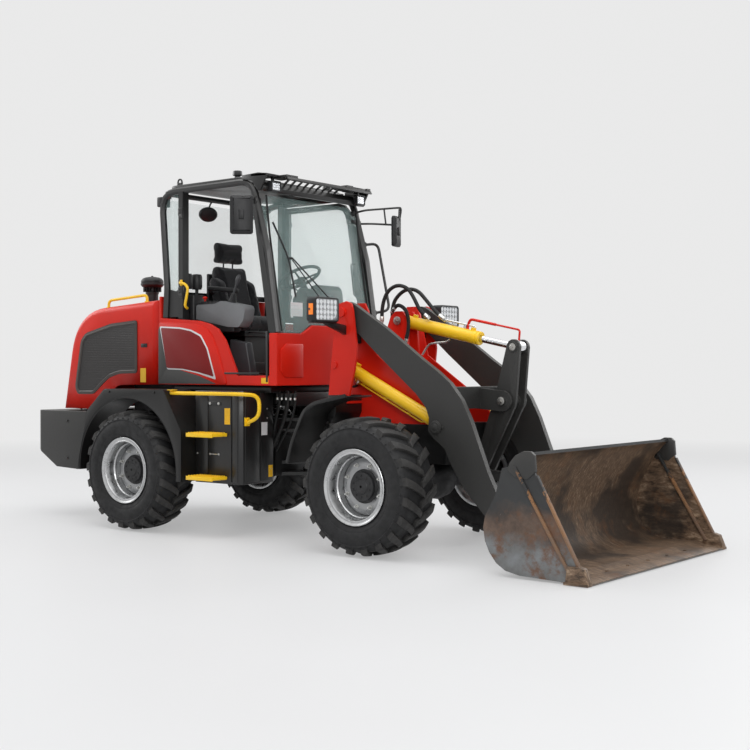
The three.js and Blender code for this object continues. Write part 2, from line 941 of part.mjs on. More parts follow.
function hoodRail() {
  const y = hoodHalf - 60;
  const front = -1420;
  const rear = -1960;
  return bentTube(
    [
      [front, y, hoodTopZ(front) + SEAT_GAP + 1],
      [front, y, hoodTopZ(front) + 66],
      [rear, y, hoodTopZ(rear) + 66],
      [rear, y, hoodTopZ(rear) + SEAT_GAP + 1],
    ],
    50,
    13,
  );
}

function airPrecleaner() {
  const at = [-1900, -200];
  const foot = hoodTopZ(at[0] + 62) + SEAT_GAP;
  const profile = [
    [0, foot],
    [62, foot],
    [62, 2175],
    [50, 2185],
    [50, 2225],
    [92, 2240],
    [112, 2262],
    [108, 2300],
    [70, 2328],
    [0, 2336],
  ];
  const cap = new THREE.LatheGeometry(
    profile.map(([r, z]) => new THREE.Vector2(r, z)),
    16,
  );
  cap.rotateX(Math.PI / 2);
  cap.translate(at[0], at[1], 0);
  return solid(cap);
}

// ---- Front chassis ----
const towerOuterY = [TOWER_WIDTH / 2 - TOWER_PLATE, TOWER_WIDTH / 2];
const towerInnerY = [SLOT_INNER_Y - TOWER_PLATE, SLOT_INNER_Y];
const towerFoot = 1000;
const slotY = [SLOT_INNER_Y, TOWER_WIDTH / 2 - TOWER_PLATE];
const tiltLugY = [BARREL_RADIUS + 5, BARREL_RADIUS + 29];

function frontTower() {
  const plate = [
    [650, 1180],
    [861, 1180],
    [937, 1468],
    [954, 1624],
    [912, 1921],
    [895, 1975],
    [845, 1995],
    [760, 1975],
    [725, 1910],
    [718, 1795],
  ];
  const innerPlate = [
    [650, towerFoot],
    [1700, towerFoot],
    [1560, 1180],
    [1000, 1560],
    [915, 1921],
    [880, 1985],
    [780, 1985],
    [725, 1910],
    [700, 1500],
  ];
  const lug = [
    [700, 1500],
    [1120, 1500],
    [1095, 1880],
    [1050, 1925],
    [980, 1925],
    [930, 1880],
    [860, 1700],
    [700, 1640],
  ];
  const pieces = [
    ...bothSides(sidePlate(plate, towerOuterY)),
    ...bothSides(sidePlate(innerPlate, towerInnerY)),
    ...bothSides(sidePlate(lug, tiltLugY)),
    block([700, 722], [-SLOT_INNER_Y, SLOT_INNER_Y], [towerFoot, 1640]),
    block([722, 1000], [-SLOT_INNER_Y, SLOT_INNER_Y], [1500, 1520]),
    ...bothSides(block([650, 861], [towerInnerY[0], towerOuterY[1]], [1160, 1180])),
    ...bothSides(block([724, 772], [towerInnerY[0], towerOuterY[1]], [1640, 1660])),
    ...bothSides(crossPin(ARM_PIVOT, [SLOT_INNER_Y - 25, towerOuterY[1] + 22], 40)),
    ...bothSides(crossPin(LIFT_BASE, [SLOT_INNER_Y - 25, towerOuterY[1] + 12], 30)),
    crossPin(TILT_BASE, [-tiltLugY[1] - 10, tiltLugY[1] + 10], 28),
  ];
  return union(pieces);
}

function frontSubframe() {
  const side = [
    [500, 500],
    [700, 500],
    [1050, railBottom],
    [1700, railBottom],
    [1700, towerFoot - SEAT_GAP],
    [500, towerFoot - SEAT_GAP],
  ];
  const tongue = [
    ...Array.from({ length: 13 }, (_, i) => {
      const turn = Math.PI / 2 + (Math.PI * i) / 12;
      return [PIVOT_X + 92 * Math.cos(turn), 92 * Math.sin(turn)];
    }),
    [510, -300],
    [510, 300],
  ];
  const bore = Array.from({ length: 24 }, (_, i) => {
    const turn = (2 * Math.PI * i) / 24;
    return [PIVOT_X + (40 + PIN_GAP) * Math.cos(turn), (40 + PIN_GAP) * Math.sin(turn)];
  });
  return union([
    ...bothSides(sidePlate(side, [300, SLOT_INNER_Y])),
    block([500, 530], [-SLOT_INNER_Y, SLOT_INNER_Y], [500, towerFoot - SEAT_GAP]),
    block([1590, 1620], [-SLOT_INNER_Y, SLOT_INNER_Y], [railBottom, towerFoot - SEAT_GAP]),
    block([1050, 1595], [-SLOT_INNER_Y, SLOT_INNER_Y], [880, 900]),
    planPlate(tongue, [530 + hubPlay * 10, 570], [bore]),
    planPlate(tongue, [940, 980 - hubPlay * 10], [bore]),
  ]);
}

function frontFender() {
  const centreline = archPoints(axleX, 715, 167, 73, 7);
  const outer = centreline.map(([x, z]) => [axleX + (x - axleX) * 1.01, TYRE_RADIUS + (z - TYRE_RADIUS) * 1.01]);
  const inner = centreline.map(([x, z]) => [axleX + (x - axleX) * 0.99, TYRE_RADIUS + (z - TYRE_RADIUS) * 0.99]);
  const sheet = sidePlate([...outer, ...inner.reverse()], [690, 1020]);
  const bracket = [
    [770, TYRE_RADIUS + 462.5],
    [800, TYRE_RADIUS + 462.5],
    [850, TYRE_RADIUS + 552.5],
    [850, 1230],
    [770, 1230],
  ];
  return sheet.add(sidePlate(bracket, [towerOuterY[1] + SEAT_GAP, 700]));
}

function headlight() {
  const arm = [
    [towerOuterY[1] + SEAT_GAP, 1640],
    [towerOuterY[1] + 20, 1640],
    [790, 1790],
    [830, 1830],
    [740, 1830],
    [towerOuterY[1] + SEAT_GAP, 1720],
  ];
  const face = [
    [704, 1840],
    [724, 1816],
    [980, 1816],
    [1000, 1840],
    [1000, 1994],
    [980, 2016],
    [724, 2016],
    [704, 1994],
  ];
  return frontPlate(face, [775, 890]).add(frontPlate(arm, [790, 860]));
}

// ---- Loader arm ----
const armY = [ARM_INNER_Y, ARM_INNER_Y + ARM_THICK];
const crankY = [50, 78];
const linkEarY = [50, 74];

function liftArm() {
  const outline = [
    [ARM_PIVOT[0] - 60, ARM_PIVOT[1] - 72],
    [908, 1759],
    [1126, 1570],
    [1525, 1246],
    [1620, 1140],
    [1650, 1060],
    [1640, 960],
    [1690, 905],
    [1797, 826],
    [1869, 689],
    [1983, 519],
    [2162, 340],
    [2340, 225],
    [2420, 212],
    [2500, 235],
    [2530, 290],
    [2515, 350],
    [2440, 390],
    [2330, 440],
    [2265, 524],
    [2190, 669],
    [2122, 839],
    [2038, 1045],
    [1954, 1207],
    [1847, 1334],
    [1727, 1426],
    [1593, 1512],
    [1238, 1761],
    [890, 1975],
    [840, 1992],
    [770, 1985],
    [722, 1940],
    [715, 1870],
  ];
  const lug = hullOfCircles([[CRANK_PIVOT[0], CRANK_PIVOT[1], 82], [1760, 1215, 84]]);
  const beam = block([1690, 1860], [-armY[1], armY[1]], [1130, 1300]);
  const bossY = [slotY[0] + SIDE_PLAY, slotY[1] - SIDE_PLAY];
  const holes = [
    ...bothSides(crossPin(ARM_PIVOT, [300, 600], 40 + PIN_GAP)),
    ...bothSides(crossPin(BUCKET_PIVOT, [400, 600], 30 + PIN_GAP)),
  ];
  const body = union([
    ...bothSides(sidePlate(outline, armY)),
    ...bothSides(crossPin(ARM_PIVOT, bossY, 70)),
    ...bothSides(crossPin(LIFT_EYE, [armY[0], armY[1] + 24], 42, 20)),
    ...bothSides(sidePlate(lug, [95, 120])),
    beam,
    crossPin(CRANK_PIVOT, [-128, 128], 35),
  ]);
  return cut(body, holes);
}

function bellCrank() {
  const upper = hullOfCircles([[...CRANK_TOP, 62], [...CRANK_PIVOT, 100]]);
  const lower = hullOfCircles([[...CRANK_PIVOT, 100], [...CRANK_FOOT, 58]]);
  const body = union([
    ...bothSides(sidePlate(upper, crankY)),
    ...bothSides(sidePlate(lower, crankY)),
    crossPin(CRANK_PIVOT, [-88, 88], 66),
    crossPin(CRANK_FOOT, [-86, 86], 28),
    ...bothSides(crossPin(CRANK_TOP, [crankY[1], crankY[1] + 10], 40)),
  ]);
  return body.subtract(crossPin(CRANK_PIVOT, [-130, 130], 35 + PIN_GAP));
}

function bucketLink() {
  const shank = hullOfCircles([[...CRANK_FOOT, 40], [...BUCKET_LINK_PIN, 40]]);
  const body = union([
    sidePlate(shank, [-26, 26]),
    crossPin(CRANK_FOOT, [-42, 42], 55),
    crossPin(BUCKET_LINK_PIN, [EYE_GAP - linkEarY[0], linkEarY[0] - EYE_GAP], 52),
  ]);
  return body.subtract(crossPin(CRANK_FOOT, [-50, 50], 28 + PIN_GAP));
}

// ---- Bucket ----
function bucket() {
  const half = BUCKET_WIDTH / 2;
  const low = BUCKET_GROUND_GAP;
  const outside = [
    [2895, 872],
    [2862, 862],
    [2760, 748],
    [2668, 600],
    [2605, 455],
    [2585, 330],
    [2600, 215],
    [2650, 115],
    [2725, 55],
    [2820, low + 22],
    [BUCKET_TIP_X, low],
  ];
  const inside = [
    [BUCKET_TIP_X, low + 8],
    [3140, low + 50],
    [2830, low + 52],
    [2745, 90],
    [2680, 140],
    [2635, 228],
    [2620, 330],
    [2636, 445],
    [2698, 590],
    [2785, 732],
    [2882, 842],
    [2899, 850],
  ];
  const side = [
    [2689, 757],
    [2632, 560],
    [2549, 415],
    [2533, 336],
    [2548, 240],
    [2583, 165],
    [2640, 95],
    [2714, 48],
    [2830, low + 20],
    [3320, low + 6],
    [3312, 75],
    [2960, 715],
    [2925, 790],
    [2860, 792],
  ];
  const earPlay = 5;
  const ear = [
    [2372, 235],
    [2480, 212],
    [2640, 215],
    [2640, 440],
    [2560, 440],
    [2400, 385],
    [2362, 310],
  ];
  const linkEar = [
    [2350, 560],
    [2372, 510],
    [2500, 420],
    [2625, 400],
    [2680, 590],
    [2600, 600],
    [2420, 612],
    [2370, 605],
  ];
  const earBands = [
    [armY[0] - earPlay - 22, armY[0] - earPlay],
    [armY[1] + earPlay, armY[1] + earPlay + 22],
  ];
  const cavity = sidePlate([...inside, [3300, 700]], [BUCKET_SHELL - half, half - BUCKET_SHELL]);
  const body = union([
    sidePlate([...outside, ...inside], [BUCKET_SHELL / 2 - half, half - BUCKET_SHELL / 2]),
    ...bothSides(sidePlate(side, [half - BUCKET_SHELL, half])),
    ...earBands.flatMap((band) => bothSides(sidePlate(ear, band))),
    ...bothSides(sidePlate(linkEar, linkEarY)),
    ...bothSides(crossPin(BUCKET_PIVOT, [earBands[0][0] - 8, earBands[1][1] + 8], 30)),
  ]);
  return body.subtract(cavity);
}

// ---- Hydraulic cylinders ----
// A frame along a cylinder: along(d) is the side view point d from its base pin.
function cylinderLine(base, eye) {
  const length = Math.hypot(eye[0] - base[0], eye[1] - base[1]);
  const along = (d) => [
    base[0] + ((eye[0] - base[0]) * d) / length,
    base[1] + ((eye[1] - base[1]) * d) / length,
  ];
  return { length, along };
}

function lengthwise(line, y, from, to, radius, sides) {
  const [x0, z0] = line.along(from);
  const [x1, z1] = line.along(to);
  return bar([x0, y, z0], [x1, y, z1], radius, sides);
}

const liftLine = cylinderLine(LIFT_BASE, LIFT_EYE);
const liftGland = liftLine.length - 95;
const liftRodStart = liftLine.length - 700;

function liftBarrel() {
  const eye = crossPin(LIFT_BASE, [slotY[0] + SIDE_PLAY, CYLINDER_Y + 44], 55);
  const body = union([
    lengthwise(liftLine, CYLINDER_Y, 20, liftGland, BARREL_RADIUS - 4, 20),
    eye,
  ]);
  return cut(body, [
    crossPin(LIFT_BASE, [300, 600], 30 + PIN_GAP),
    lengthwise(liftLine, CYLINDER_Y, liftRodStart - 40, liftGland + 5, ROD_RADIUS + SLIDE_GAP, 16),
  ]);
}

function liftRod() {
  return union([
    lengthwise(liftLine, CYLINDER_Y, liftRodStart, liftLine.length - 30, ROD_RADIUS, 16),
    crossPin(LIFT_EYE, [CYLINDER_Y - 42, ARM_INNER_Y - EYE_GAP], 50),
  ]);
}

const tiltLine = cylinderLine(TILT_BASE, CRANK_TOP);
const tiltGland = 785;
const tiltChamber = [175, 745];
const pistonPlace = [182, 222];
const tiltRodStart = 430;

function tiltBarrel() {
  const body = union([
    lengthwise(tiltLine, 0, 20, tiltGland, BARREL_RADIUS, 20),
    crossPin(TILT_BASE, [-44, 44], 58, 20),
  ]);
  return cut(body, [
    crossPin(TILT_BASE, [-tiltLugY[0], tiltLugY[0]], 28 + PIN_GAP),
    lengthwise(tiltLine, 0, tiltChamber[0], tiltChamber[1], 42, 16),
    lengthwise(tiltLine, 0, tiltChamber[0] + 10, tiltGland + 5, ROD_RADIUS + SLIDE_GAP, 16),
  ]);
}

function tiltPiston() {
  return lengthwise(tiltLine, 0, pistonPlace[0], pistonPlace[1], 42 - SLIDE_GAP, 16);
}

function tiltRod() {
  return union([
    lengthwise(tiltLine, 0, tiltRodStart, tiltLine.length - 30, ROD_RADIUS, 16),
    crossPin(CRANK_TOP, [EYE_GAP - crankY[0], crankY[0] - EYE_GAP], 52),
  ]);
}

// ---- Assembly ----
add("rear_frame", rearFrame(), blackPaint());
add("counterweight", counterweight(), greyPaint());
add("engine_block", engineBlock(), castIron());
add("rear_axle", axle(-axleX), castIron());
add("rear_fender_left", rearFender(), greyPaint());
add("rear_fender_right", mirrored(rearFender()), greyPaint());
add("side_box_left", sideBox(), blackPaint());
add("side_box_right", mirrored(sideBox()), blackPaint());
add("steps_left", steps(), yellowPaint());
add("steps_right", mirrored(steps()), yellowPaint());
add("deck_rail_left", deckRail(), yellowPaint());
add("deck_rail_right", mirrored(deckRail()), yellowPaint());
add("cab_body", cabBody(), redPaint());
add("cab_frame", cabFrame(), blackPaint());
add("cab_roof", cabRoof(), blackPaint());
add("windshield", windshield(), glass());
add("rear_window", rearWindow(), glass());
add("quarter_window_left", quarterWindow(), glass());
add("quarter_window_right", mirrored(quarterWindow()), glass());
add("seat_base", seatBase(), blackPaint());
add("seat_cushion", seatCushion(), upholstery());
add("seat_backrest", seatBackrest(), upholstery());
add("side_console", sideConsole(), plastic());
add("dashboard", dashboard(), plastic());
add("mirror_right", cutFromTube(mirrorRight()), blackPaint());
add("mirror_left", cutFromTube(mirrorLeft()), blackPaint());
add("door_handrail_left", cutFromTube(doorHandrail()), blackPaint());
leftDoor();
add("hood", hood(), redPaint());
add("hood_rail_left", hoodRail(), yellowPaint());
add("hood_rail_right", mirrored(hoodRail()), yellowPaint());
add("air_precleaner", airPrecleaner(), plastic());
add("front_tower", frontTower(), redPaint());
add("front_subframe", frontSubframe(), blackPaint());
add("front_axle", axle(axleX), castIron());
add("front_fender_left", frontFender(), greyPaint());
add("front_fender_right", mirrored(frontFender()), greyPaint());
add("headlight_left", headlight(), blackPaint());
add("headlight_right", mirrored(headlight()), blackPaint());
add("lift_arm", liftArm(), greyPaint());
add("bell_crank", bellCrank(), greyPaint());
add("bucket_link", bucketLink(), greyPaint());
add("bucket", bucket(), wornSteel());
add("lift_cylinder_barrel_left", liftBarrel(), yellowPaint());
add("lift_cylinder_barrel_right", mirrored(liftBarrel()), yellowPaint());
add("lift_cylinder_rod_left", liftRod(), chrome());
add("lift_cylinder_rod_right", mirrored(liftRod()), chrome());
add("tilt_cylinder_barrel", tiltBarrel(), yellowPaint());
add("tilt_cylinder_piston", tiltPiston(), castIron());
add("tilt_cylinder_rod", tiltRod(), chrome());
addWheels();

export default loader;
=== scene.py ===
"""The finished look of an articulated wheel loader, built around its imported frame.

Metres, +X forward to the bucket, +Y to the operator's left, +Z up. The places written in the
pieces are measured from the middle of the wheelbase, on the ground.
"""

import json
import math

import bmesh
import bpy
from mathutils import Matrix, Vector

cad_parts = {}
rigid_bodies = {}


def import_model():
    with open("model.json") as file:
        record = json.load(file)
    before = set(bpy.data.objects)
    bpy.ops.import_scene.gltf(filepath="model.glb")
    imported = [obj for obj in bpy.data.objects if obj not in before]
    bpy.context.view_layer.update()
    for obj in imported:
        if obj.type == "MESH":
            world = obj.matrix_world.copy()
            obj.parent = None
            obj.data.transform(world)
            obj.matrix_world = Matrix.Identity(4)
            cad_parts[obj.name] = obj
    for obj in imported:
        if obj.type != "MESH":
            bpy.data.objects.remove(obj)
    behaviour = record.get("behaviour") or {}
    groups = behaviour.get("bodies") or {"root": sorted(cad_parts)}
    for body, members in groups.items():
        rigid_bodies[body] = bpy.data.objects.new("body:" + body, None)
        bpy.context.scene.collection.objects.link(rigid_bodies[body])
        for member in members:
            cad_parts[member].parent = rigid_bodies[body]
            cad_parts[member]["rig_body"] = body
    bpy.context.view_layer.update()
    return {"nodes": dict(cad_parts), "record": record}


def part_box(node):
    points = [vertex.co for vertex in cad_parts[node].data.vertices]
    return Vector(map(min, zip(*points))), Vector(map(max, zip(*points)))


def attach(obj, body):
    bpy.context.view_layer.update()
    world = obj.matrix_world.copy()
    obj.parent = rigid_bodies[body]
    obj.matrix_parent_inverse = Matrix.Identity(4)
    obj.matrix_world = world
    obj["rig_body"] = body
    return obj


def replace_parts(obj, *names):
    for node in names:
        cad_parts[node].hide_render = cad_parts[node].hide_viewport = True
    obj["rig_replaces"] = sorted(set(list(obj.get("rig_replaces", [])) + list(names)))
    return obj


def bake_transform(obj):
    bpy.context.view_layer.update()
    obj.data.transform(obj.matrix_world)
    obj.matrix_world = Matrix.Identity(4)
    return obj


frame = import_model()
nodes = frame["nodes"]
record = frame["record"]
SLOT_OF = {row["node"]: row["material_slot"] for row in record["subparts"]}


# ---- Places taken from the frame ----
def middle(node):
    low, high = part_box(node)
    return (low + high) / 2


FRONT_AXLE = middle("tyre_front_left").x
REAR_AXLE = middle("tyre_rear_left").x
MID_X = (FRONT_AXLE + REAR_AXLE) / 2
WHEEL_Z = middle("tyre_front_left").z
TYRE_RADIUS = WHEEL_Z
TYRE_HALF_WIDTH = (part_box("tyre_front_left")[1].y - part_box("tyre_front_left")[0].y) / 2
CAB_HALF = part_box("cab_body")[1].y
HOOD_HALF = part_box("hood")[1].y
SIDES = ((-1, "right"), (1, "left"))


def at(x, y, z):
    """A point measured from the middle of the wheelbase."""
    return Vector((MID_X + x, y, z))


# ---- Camera, light and floor ----
CAMERA_PLACE = at(7.4078, -8.5262, 1.4477)
CAMERA_YAW = 38.198
CAMERA_PITCH = -0.306
CAMERA_LENS = 60.68
SENSOR_WIDTH = 36
FLOOR_HALF = 60
FLOOR_GREY = 0.74
BACKDROP = (0.82, 0.82, 0.82, 1)
WORLD_TINT = (0.93, 0.95, 1.0, 1)
WORLD_LEVEL = 0.45


def make_camera():
    data = bpy.data.cameras.new("camera")
    data.lens = CAMERA_LENS
    data.sensor_width = SENSOR_WIDTH
    data.clip_end = 200
    camera = bpy.data.objects.new("camera", data)
    camera.location = CAMERA_PLACE
    camera.rotation_euler = (math.radians(90 + CAMERA_PITCH), 0, math.radians(CAMERA_YAW))
    bpy.context.collection.objects.link(camera)
    bpy.context.scene.camera = camera


def area_light(name, place, target, size, power):
    data = bpy.data.lights.new(name, "AREA")
    data.energy = power
    data.shape = "RECTANGLE"
    data.size, data.size_y = size
    lamp = bpy.data.objects.new(name, data)
    lamp.location = place
    lamp.rotation_euler = (Vector(target) - Vector(place)).to_track_quat("-Z", "Y").to_euler()
    bpy.context.collection.objects.link(lamp)


def make_light():
    area_light("soft_overhead", (0.5, -1.0, 8.5), (0, 0, 0), (11, 9), 560)
    area_light("soft_front_right", (8.0, -7.0, 5.0), (0.5, 0, 1.0), (5, 4), 330)
    area_light("soft_left", (3.0, 9.0, 5.0), (0, 0, 1.2), (6, 4), 230)
    area_light("soft_rear", (-9.0, -2.0, 5.0), (-1, 0, 1.2), (5, 4), 200)
    world = bpy.data.worlds.new("studio")
    world.use_nodes = True
    tree = world.node_tree
    tree.nodes.clear()
    output = tree.nodes.new("ShaderNodeOutputWorld")
    lit = tree.nodes.new("ShaderNodeBackground")
    seen = tree.nodes.new("ShaderNodeBackground")
    mix = tree.nodes.new("ShaderNodeMixShader")
    path = tree.nodes.new("ShaderNodeLightPath")
    most = tree.nodes.new("ShaderNodeMath")
    also = tree.nodes.new("ShaderNodeMath")
    most.operation = also.operation = "MAXIMUM"
    tree.links.new(path.outputs["Is Camera Ray"], most.inputs[0])
    tree.links.new(path.outputs["Is Transmission Ray"], most.inputs[1])
    tree.links.new(most.outputs[0], also.inputs[0])
    tree.links.new(path.outputs["Is Glossy Ray"], also.inputs[1])
    lit.inputs["Color"].default_value = WORLD_TINT
    lit.inputs["Strength"].default_value = WORLD_LEVEL
    seen.inputs["Color"].default_value = BACKDROP
    tree.links.new(also.outputs[0], mix.inputs[0])
    tree.links.new(lit.outputs[0], mix.inputs[1])
    tree.links.new(seen.outputs[0], mix.inputs[2])
    tree.links.new(mix.outputs[0], output.inputs[0])
    bpy.context.scene.world = world
    bpy.context.scene.view_settings.view_transform = "Standard"


# ---- Materials ----
class Finish:
    """A procedural material with one Principled shader, whose patterns read Object coordinates."""

    def __init__(self, name, color, roughness, metallic=0.0, **shader):
        self.material = bpy.data.materials.new(name)
        self.material.use_nodes = True
        self.tree = self.material.node_tree
        self.shader = self.tree.nodes["Principled BSDF"]
        self.color = color
        self.set("Base Color", (*color, 1))
        self.set("Roughness", roughness)
        self.set("Metallic", metallic)
        for socket, value in shader.items():
            self.set(socket.replace("_", " ").title().replace("Ior", "IOR"), value)
        self.place = self.add("TexCoord").outputs["Object"]

    def set(self, socket, value):
        self.shader.inputs[socket].default_value = value

    def add(self, kind, **settings):
        node = self.tree.nodes.new("ShaderNode" + kind)
        for key, value in settings.items():
            setattr(node, key, value)
        return node

    def feed(self, node, **inputs):
        for key, value in inputs.items():
            socket = node.inputs[int(key[1:]) if key[0] == "i" and key[1:].isdigit() else key]
            if isinstance(value, bpy.types.NodeSocket):
                self.tree.links.new(value, socket)
            else:
                socket.default_value = value
        return node

    def stretched(self, scale, turn=(0, 0, 0)):
        node = self.feed(self.add("Mapping"), Vector=self.place, Scale=scale, Rotation=turn)
        return node.outputs["Vector"]

    def noise(self, scale, detail=3.0, roughness=0.55, vector=None):
        node = self.add("TexNoise")
        self.feed(node, Vector=vector or self.place, Scale=scale, Detail=detail, Roughness=roughness)
        return node.outputs["Fac"]

    def ramp(self, value, *stops):
        node = self.add("ValToRGB")
        self.feed(node, Fac=value)
        while len(node.color_ramp.elements) < len(stops):
            node.color_ramp.elements.new(0.5)
        for element, (place, shade) in zip(node.color_ramp.elements, stops):
            element.position = place
            element.color = (*shade, 1) if isinstance(shade, tuple) else (shade, shade, shade, 1)
        return node.outputs["Color"]

    def mix(self, share, first, second):
        node = self.add("Mix", data_type="RGBA")
        pair = [(*c, 1) if isinstance(c, tuple) else c for c in (first, second)]
        for socket, value in zip((node.inputs[0], node.inputs[6], node.inputs[7]), (share, *pair)):
            if isinstance(value, bpy.types.NodeSocket):
                self.tree.links.new(value, socket)
            else:
                socket.default_value = value
        return node.outputs[2]

    def math(self, operation, first, second=0.0, clamp=False):
        node = self.add("Math", operation=operation, use_clamp=clamp)
        self.feed(node, i0=first, i1=second)
        return node.outputs[0]

    def height(self):
        """The surface's height above the ground."""
        split = self.feed(self.add("SeparateXYZ"), Vector=self.place)
        return split.outputs["Z"]

    def upward(self):
        """How much the surface faces up."""
        normal = self.add("NewGeometry").outputs["Normal"]
        split = self.feed(self.add("SeparateXYZ"), Vector=normal)
        return self.math("MAXIMUM", split.outputs["Z"], 0.0)

    def paint(self, output, socket="Base Color"):
        self.tree.links.new(output, self.shader.inputs[socket])
        return self

    def bump(self, value, strength, distance=0.001):
        node = self.feed(self.add("Bump"), Height=value, Strength=strength, Distance=distance)
        self.tree.links.new(node.outputs["Normal"], self.shader.inputs["Normal"])
        return self


def shade(color, factor):
    return tuple(min(1.0, c * factor) for c in color)


def spread(finish, value, low, high):
    """A grey value that runs from low to high with the pattern."""
    return finish.ramp(value, (0.3, low), (0.7, high))


def sprayed(name, color, roughness, coat=0.0, dust=0.06, peel=0.05, shine=0.5):
    """Sprayed paint: slow colour drift, orange peel, and a little dust on what faces up."""
    made = Finish(name, color, roughness, coat_weight=coat, coat_roughness=0.06, specular_ior_level=shine)
    drift = made.noise(1.7, 2)
    body = made.mix(spread(made, drift, 0.0, 1.0), shade(color, 0.90), shade(color, 1.06))
    settled = made.math("MULTIPLY", made.upward(), made.noise(9.0, 5, 0.65))
    settled = made.math("MULTIPLY", settled, dust * 2.0, clamp=True)
    made.paint(made.mix(settled, body, (0.42, 0.39, 0.35)))
    fine = made.noise(60.0, 3)
    made.paint(spread(made, fine, roughness * 0.88, min(1.0, roughness * 1.18)), "Roughness")
    return made.bump(made.noise(420.0, 2), peel, 0.0006).material


def rubber_finish(name, color, tread=True):
    """Tyre rubber: mottled, a touch brown with dust, more of it on the tread."""
    made = Finish(name, color, 0.62, specular_ior_level=0.35)
    mottle = made.noise(14.0, 6, 0.65)
    body = made.mix(spread(made, mottle, 0.0, 1.0), shade(color, 0.7), shade(color, 1.5))
    dusty = made.ramp(made.noise(5.5, 5, 0.6), (0.50, 0.0), (0.80, 0.16 if tread else 0.05))
    made.paint(made.mix(dusty, body, (0.062, 0.056, 0.050)))
    made.paint(spread(made, made.noise(22.0, 4), 0.5, 0.78), "Roughness")
    return made.bump(made.noise(260.0, 4, 0.6), 0.25, 0.0012).material


def cast_finish(name, color, roughness=0.62):
    """Painted casting: grainy, with oil-dark patches."""
    made = Finish(name, color, roughness)
    patch = made.ramp(made.noise(6.0, 4), (0.35, shade(color, 0.55)), (0.7, shade(color, 1.35)))
    made.paint(patch)
    made.paint(spread(made, made.noise(18.0, 4), 0.42, 0.75), "Roughness")
    return made.bump(made.noise(140.0, 5, 0.7), 0.35, 0.0016).material


def metal_finish(name, color, roughness, grain=(4, 4, 90)):
    """Machined or plated metal with a fine turned grain."""
    made = Finish(name, color, roughness, metallic=1.0)
    lines = made.noise(9.0, 3, 0.5, made.stretched(grain))
    made.paint(made.mix(spread(made, lines, 0.0, 1.0), shade(color, 0.88), shade(color, 1.05)))
    made.paint(spread(made, lines, roughness * 0.7, roughness * 1.6), "Roughness")
    return made.bump(lines, 0.04, 0.0005).material


def plastic_finish(name, color, roughness=0.55, grain=0.18):
    """Moulded plastic with a pebbled grain."""
    made = Finish(name, color, roughness, specular_ior_level=0.4)
    made.paint(made.mix(spread(made, made.noise(3.0, 3), 0.0, 1.0), shade(color, 0.86), shade(color, 1.1)))
    made.paint(spread(made, made.noise(35.0, 3), roughness * 0.85, roughness * 1.15), "Roughness")
    return made.bump(made.noise(520.0, 3, 0.6), grain, 0.0008).material


def glass_finish(name, color, alpha):
    """Tinted safety glass with faint wiping marks."""
    made = Finish(name, color, 0.03, alpha=alpha, ior=1.5)
    marks = made.noise(3.0, 5, 0.6, made.stretched((1, 1, 4)))
    made.paint(made.mix(spread(made, marks, 0.0, 1.0), shade(color, 0.94), shade(color, 1.04)))
    made.paint(spread(made, marks, 0.015, 0.07), "Roughness")
    return made.material


def worn_inside():
    """Digging steel: a brown rust film, fine crossing scratches, dark patches and pale rubbed streaks."""
    made = Finish("scoured_steel", (0.10, 0.07, 0.05), 0.5, metallic=0.25)
    fine = made.noise(7.0, 9, 0.78, made.stretched((1.2, 14.0, 3.2), (0.75, 0, 0)))
    broad = made.noise(1.9, 4, 0.55)
    tone = made.ramp(
        fine, (0.36, (0.030, 0.020, 0.014)), (0.46, (0.120, 0.076, 0.047)),
        (0.54, (0.200, 0.130, 0.082)), (0.64, (0.420, 0.310, 0.210))
    )
    dark = made.ramp(broad, (0.40, 0.80), (0.52, 0.0))
    tone = made.mix(dark, tone, (0.026, 0.021, 0.018))
    rust = made.ramp(made.noise(3.6, 6, 0.7), (0.56, 0.0), (0.72, 0.55))
    tone = made.mix(rust, tone, (0.200, 0.085, 0.030))
    made.paint(tone)
    made.paint(spread(made, fine, 0.38, 0.66), "Roughness")
    return made.bump(made.noise(18.0, 8, 0.7, made.stretched((2, 9, 3), (0.75, 0, 0))), 0.3, 0.003).material


def worn_outside():
    """Dark paint above, a brown rubbed belt, and blue-grey bare steel with rust near the ground."""
    made = Finish("rubbed_bucket_paint", (0.03, 0.03, 0.03), 0.5, metallic=0.15)
    patchy = made.noise(2.6, 8, 0.62)
    low = made.math("SUBTRACT", 0.50, made.height())
    worn = made.math("ADD", low, made.math("MULTIPLY", made.math("SUBTRACT", patchy, 0.5), 0.42))
    bare = made.ramp(worn, (0.00, 0.0), (0.12, 1.0))
    brown = made.ramp(made.noise(5.0, 8, 0.7), (0.35, (0.045, 0.031, 0.024)), (0.65, (0.150, 0.098, 0.070)))
    steel = made.ramp(made.noise(5.5, 7, 0.65), (0.35, (0.120, 0.118, 0.112)), (0.65, (0.205, 0.215, 0.220)))
    lower = made.ramp(worn, (0.20, 0.0), (0.30, 1.0))
    tone = made.mix(lower, brown, steel)
    rust = made.ramp(made.noise(4.2, 8, 0.72), (0.52, 0.0), (0.62, 0.85))
    tone = made.mix(rust, tone, (0.135, 0.060, 0.028))
    chips = made.ramp(made.noise(38.0, 4, 0.6), (0.70, 0.0), (0.74, 0.7))
    paint = made.mix(spread(made, made.noise(3.0, 3), 0, 1), (0.022, 0.023, 0.024), (0.036, 0.037, 0.037))
    made.paint(made.mix(made.math("MULTIPLY", chips, bare), made.mix(bare, paint, tone), (0.45, 0.38, 0.30)))
    made.paint(spread(made, patchy, 0.36, 0.58), "Roughness")
    return made.bump(made.noise(22.0, 7, 0.7), 0.2, 0.002).material


